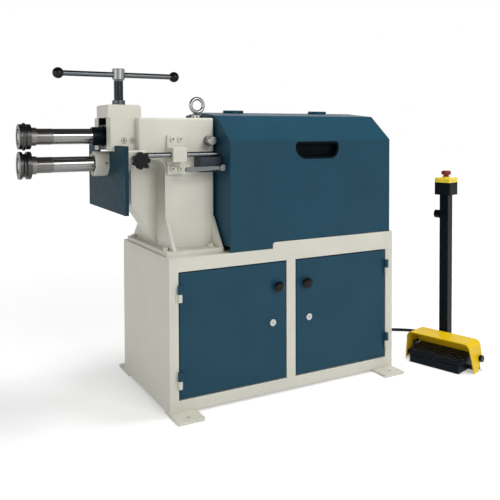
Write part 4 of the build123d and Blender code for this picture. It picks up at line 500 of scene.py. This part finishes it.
# Pattern of the tread
def add_tread():
    """Raised lozenges in two crossing directions over the tread."""
    shape = bmesh.new()
    slope = math.atan2(TREAD_BACK[1] - TREAD_FRONT[1], TREAD_BACK[0] - TREAD_FRONT[0])
    along = PEDAL_REAR * math.cos(slope) + Vector((0, 0, math.sin(slope)))
    normal = PEDAL_SIDE.cross(along)
    axes = Matrix((PEDAL_SIDE, along, normal)).transposed().to_4x4()
    step = 2 * TREAD_HALF / TREAD_COLUMNS
    for row in range(TREAD_ROWS):
        share = (row + TREAD_ROW_START) / TREAD_ROWS
        rear = TREAD_FRONT[0] + share * (TREAD_BACK[0] - TREAD_FRONT[0])
        height = TREAD_FRONT[1] + share * (TREAD_BACK[1] - TREAD_FRONT[1])
        for column in range(TREAD_COLUMNS):
            side = (column + 0.5) * step - TREAD_HALF
            degrees = LOZENGE_TURN if (row + column) % 2 else -LOZENGE_TURN
            turn = Matrix.Rotation(math.radians(degrees), 4, "Z")
            rings = [[(-length, 0, rise), (0, -width, rise), (length, 0, rise), (0, width, rise)]
                     for length, width, rise in (LOZENGE_FOOT, LOZENGE_TOP)]
            add_ring_stack(shape, rings, Matrix.Translation(pedal_point(side, rear, height)) @ axes @ turn)
    add_piece("tread_pattern", shape, tread_black, "pedal")


add_tread()


# Louvres in the back of the fixed guard
def add_louvres():
    """Pressed hood over each slot, open downwards."""
    shape = bmesh.new()
    sections = (
        (-LOUVRE_END_SHARE, LOUVRE_SINK),
        (-LOUVRE_FLAT_SHARE, LOUVRE_RISE),
        (LOUVRE_FLAT_SHARE, LOUVRE_RISE),
        (LOUVRE_END_SHARE, LOUVRE_SINK),
    )
    for column in (-0.5, 0.5):
        middle = LOUVRE_MIDDLE[0] + column * LOUVRE_COLUMN_PITCH
        for row in range(LOUVRE_ROWS):
            height = LOUVRE_MIDDLE[1] + (row - (LOUVRE_ROWS - 1) / 2) * LOUVRE_PITCH
            rings = []
            for shift, rise in sections:
                across = middle + shift * LOUVRE_LENGTH
                lip = HALF_DEPTH + rise
                rings.append([
                    (across, HALF_DEPTH, height + LOUVRE_TOP),
                    (across, lip, height - LOUVRE_LIP),
                    (across, lip - LOUVRE_LIP_SET_BACK, height - LOUVRE_LIP - LOUVRE_LIP_EDGE),
                    (across, HALF_DEPTH - LOUVRE_SINK, height + LOUVRE_UNDER_TOP),
                ])
            add_ring_stack(shape, rings, Matrix())
    add_piece("louvres", shape, blue, "base")


add_louvres()


# Recessed handle of the hood
def grip_arc(corner, margin, steps=10):
    """Arc round one corner of the handle's outline, drawn in by a margin, as (across, height)."""
    upper, right = corner.startswith("upper"), corner.endswith("right")
    rounding = GRIP_ROUNDS[corner]
    middle_x = GRIP_X[1] - rounding if right else GRIP_X[0] + rounding
    middle_z = GRIP_Z[1] - rounding if upper else GRIP_Z[0] + rounding
    first = math.radians(-90 + 90 * list(GRIP_ROUNDS).index(corner))
    angles = [first + math.pi / 2 * i / steps for i in range(steps + 1)]
    radius = rounding - margin
    return [(middle_x + radius * math.cos(a), middle_z + radius * math.sin(a)) for a in angles]


def add_grip():
    """Black cup with a D-shaped rim, which takes the place of the plainer handle."""
    shape = bmesh.new()
    inner = GRIP_RIM + GRIP_WALL
    profile = (
        (GRIP_RIM, GRIP_DEPTH),
        (GRIP_RIM, 0),
        (0, 0),
        (0, GRIP_EDGE - GRIP_RISE),
        (GRIP_EDGE, -GRIP_RISE),
        (inner - GRIP_EDGE, -GRIP_RISE),
        (inner, GRIP_EDGE - GRIP_RISE),
        (inner + GRIP_TAPER, GRIP_DEPTH - GRIP_WALL),
    )
    rings = []
    for margin, depth in profile:
        outline = [point for corner in GRIP_ROUNDS for point in grip_arc(corner, margin)]
        rings.append([(across, depth - HALF_DEPTH, height) for across, height in outline])
    add_ring_stack(shape, rings, Matrix())
    grip = add_piece("grip_cup", shape, grip_plastic, "hood")
    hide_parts("hood_handle")


def add_grip_corners():
    """Blue sheet that closes the lower corners of the cut-out round the cup."""
    shape = bmesh.new()
    for corner, edge in (("lower_left", GRIP_X[0]), ("lower_right", GRIP_X[1])):
        outline = [(edge, GRIP_Z[0]), *grip_arc(corner, GRIP_CORNER_LAP)]
        rings = [[(across, -HALF_DEPTH - rise, height) for across, height in outline]
                 for rise in (-GRIP_CORNER_HALF, GRIP_CORNER_HALF)]
        add_ring_stack(shape, rings, Matrix())
    add_piece("grip_corners", shape, blue, "hood")


add_grip()
add_grip_corners()

# Cable from the pedal stand to the cabinet's back wall, on the route of its solid
post_exit = pedal_point(*CABLE_EXIT)
cable_route = [
    post_exit,
    post_exit + PEDAL_REAR * CABLE_STRAIGHT,
    Vector((0.965, -0.150, 0.012)),
    Vector((0.985, -0.060, CABLE_RADIUS)),
    Vector((0.965, 0.030, CABLE_RADIUS)),
    Vector((0.902, 0.109, CABLE_RADIUS)),
    Vector((0.773, 0.185, CABLE_RADIUS)),
    Vector((0.640, 0.275, CABLE_RADIUS)),
    Vector((0.505, 0.350, CABLE_RADIUS)),
    Vector((0.350, 0.385, CABLE_RADIUS)),
    Vector((0.200, 0.396, CABLE_RADIUS)),
    Vector((0.080, 0.420, 0.010)),
    Vector((-0.030, 0.410, 0.035)),
    Vector((-0.100, 0.355, 0.090)),
    Vector((-0.100, 0.250, 0.090)),
]


def add_cable():
    """Smooth round cable through the route's points."""
    curve = bpy.data.curves.new("foot_cable", "CURVE")
    curve.dimensions = "3D"
    curve.bevel_depth = CABLE_RADIUS
    curve.bevel_resolution = 5
    curve.resolution_u = 14
    spline = curve.splines.new("NURBS")
    spline.points.add(len(cable_route) - 1)
    for point, place in zip(spline.points, cable_route):
        point.co = (*place, 1)
    spline.order_u = 3
    spline.use_endpoint_u = True
    cable = bpy.data.objects.new("foot_cable", curve)
    scene.collection.objects.link(cable)
    curve.materials.append(rubber)
    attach(cable, "base")
    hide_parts("pedal_cable")


add_cable()


# Camera, floor and light
def add_camera():
    """Camera at the photograph's place and angle."""
    data = bpy.data.cameras.new("camera")
    data.lens = CAMERA_LENS
    data.sensor_width = 36
    data.shift_y = CAMERA_SHIFT
    data.clip_end = 60
    camera = bpy.data.objects.new("camera", data)
    turn = (Matrix.Rotation(CAMERA_AZIMUTH, 4, "Z") @ Matrix.Rotation(math.pi / 2 - CAMERA_PITCH, 4, "X")
            @ Matrix.Rotation(CAMERA_ROLL, 4, "Z"))
    camera.matrix_world = Matrix.Translation(CAMERA_PLACE) @ turn
    scene.collection.objects.link(camera)
    scene.camera = camera


def add_lamp(name, place, target, size, power, mirrored=True):
    """Soft rectangular lamp that faces a point."""
    data = bpy.data.lights.new(name, "AREA")
    data.shape = "RECTANGLE"
    data.size, data.size_y = size
    data.energy = power
    lamp = bpy.data.objects.new(name, data)
    lamp.location = place
    lamp.rotation_euler = (Vector(target) - Vector(place)).to_track_quat("-Z", "Y").to_euler()
    lamp.visible_glossy = mirrored
    scene.collection.objects.link(lamp)


def seen_rays(tree):
    """Factor that is 1 for what the camera sees, straight, mirrored or through glass."""
    path = tree.nodes.new("ShaderNodeLightPath")
    total = path.outputs["Is Camera Ray"]
    for output in ("Is Glossy Ray", "Is Transmission Ray"):
        larger = tree.nodes.new("ShaderNodeMath")
        larger.operation = "MAXIMUM"
        tree.links.new(total, larger.inputs[0])
        tree.links.new(path.outputs[output], larger.inputs[1])
        total = larger.outputs[0]
    return total


def add_floor():
    """White floor that keeps the object's shadow; its own light is only for what the camera sees."""
    bpy.ops.mesh.primitive_plane_add(size=FLOOR_SIZE, location=(0, 0, 0))
    floor = bpy.context.object
    floor.name = "floor"
    mat, tree, shader = new_material("floor_white")
    shader.inputs["Base Color"].default_value = (0.86, 0.86, 0.86, 1)
    shader.inputs["Roughness"].default_value = 0.7
    shader.inputs["Specular IOR Level"].default_value = 0.1
    shader.inputs["Emission Color"].default_value = (1, 1, 1, 1)
    place = tree.nodes.new("ShaderNodeTexCoord")
    distance = tree.nodes.new("ShaderNodeVectorMath")
    distance.operation = "LENGTH"
    tree.links.new(place.outputs["Object"], distance.inputs[0])
    fade = tree.nodes.new("ShaderNodeMapRange")
    fade.inputs["From Min"].default_value, fade.inputs["From Max"].default_value = FLOOR_FADE
    fade.inputs["To Min"].default_value, fade.inputs["To Max"].default_value = FLOOR_LIFT
    tree.links.new(distance.outputs["Value"], fade.inputs["Value"])
    lift = tree.nodes.new("ShaderNodeMath")
    lift.operation = "MULTIPLY"
    tree.links.new(fade.outputs["Result"], lift.inputs[0])
    tree.links.new(seen_rays(tree), lift.inputs[1])
    tree.links.new(lift.outputs[0], shader.inputs["Emission Strength"])
    floor.data.materials.append(mat)


def add_surround():
    """Surround with white walls and a dark ceiling, which lights the object softly."""
    world = bpy.data.worlds.new("surround")
    scene.world = world
    world.use_nodes = True
    tree = world.node_tree
    background = tree.nodes["Background"]
    background.inputs["Color"].default_value = (1, 1, 1, 1)
    direction = tree.nodes.new("ShaderNodeTexCoord")
    parts = tree.nodes.new("ShaderNodeSeparateXYZ")
    tree.links.new(direction.outputs["Generated"], parts.inputs["Vector"])
    fade = tree.nodes.new("ShaderNodeMapRange")
    fade.inputs["From Min"].default_value, fade.inputs["From Max"].default_value = CEILING_RISE
    fade.inputs["To Min"].default_value, fade.inputs["To Max"].default_value = (1.0, CEILING_LIGHT)
    tree.links.new(parts.outputs["Z"], fade.inputs["Value"])
    mixer = tree.nodes.new("ShaderNodeMix")
    mixer.data_type = "FLOAT"
    mixer.inputs["A"].default_value = FILL_LIGHT
    tree.links.new(fade.outputs["Result"], mixer.inputs["B"])
    tree.links.new(seen_rays(tree), mixer.inputs["Factor"])
    tree.links.new(mixer.outputs["Result"], background.inputs["Strength"])


add_camera()
add_floor()
add_surround()
add_lamp("key", place=(0.7, -4.2, 2.6), target=(0, 0, 0.6), size=(2.0, 1.6), power=72)
add_lamp("side", place=(-4.0, -1.2, 1.5), target=(-0.3, 0, 0.6), size=(1.8, 1.8), power=20)
add_lamp("top", place=(0.9, -0.35, 3.6), target=(0, 0, 0.4), size=(1.1, 1.1), power=62, mirrored=False)
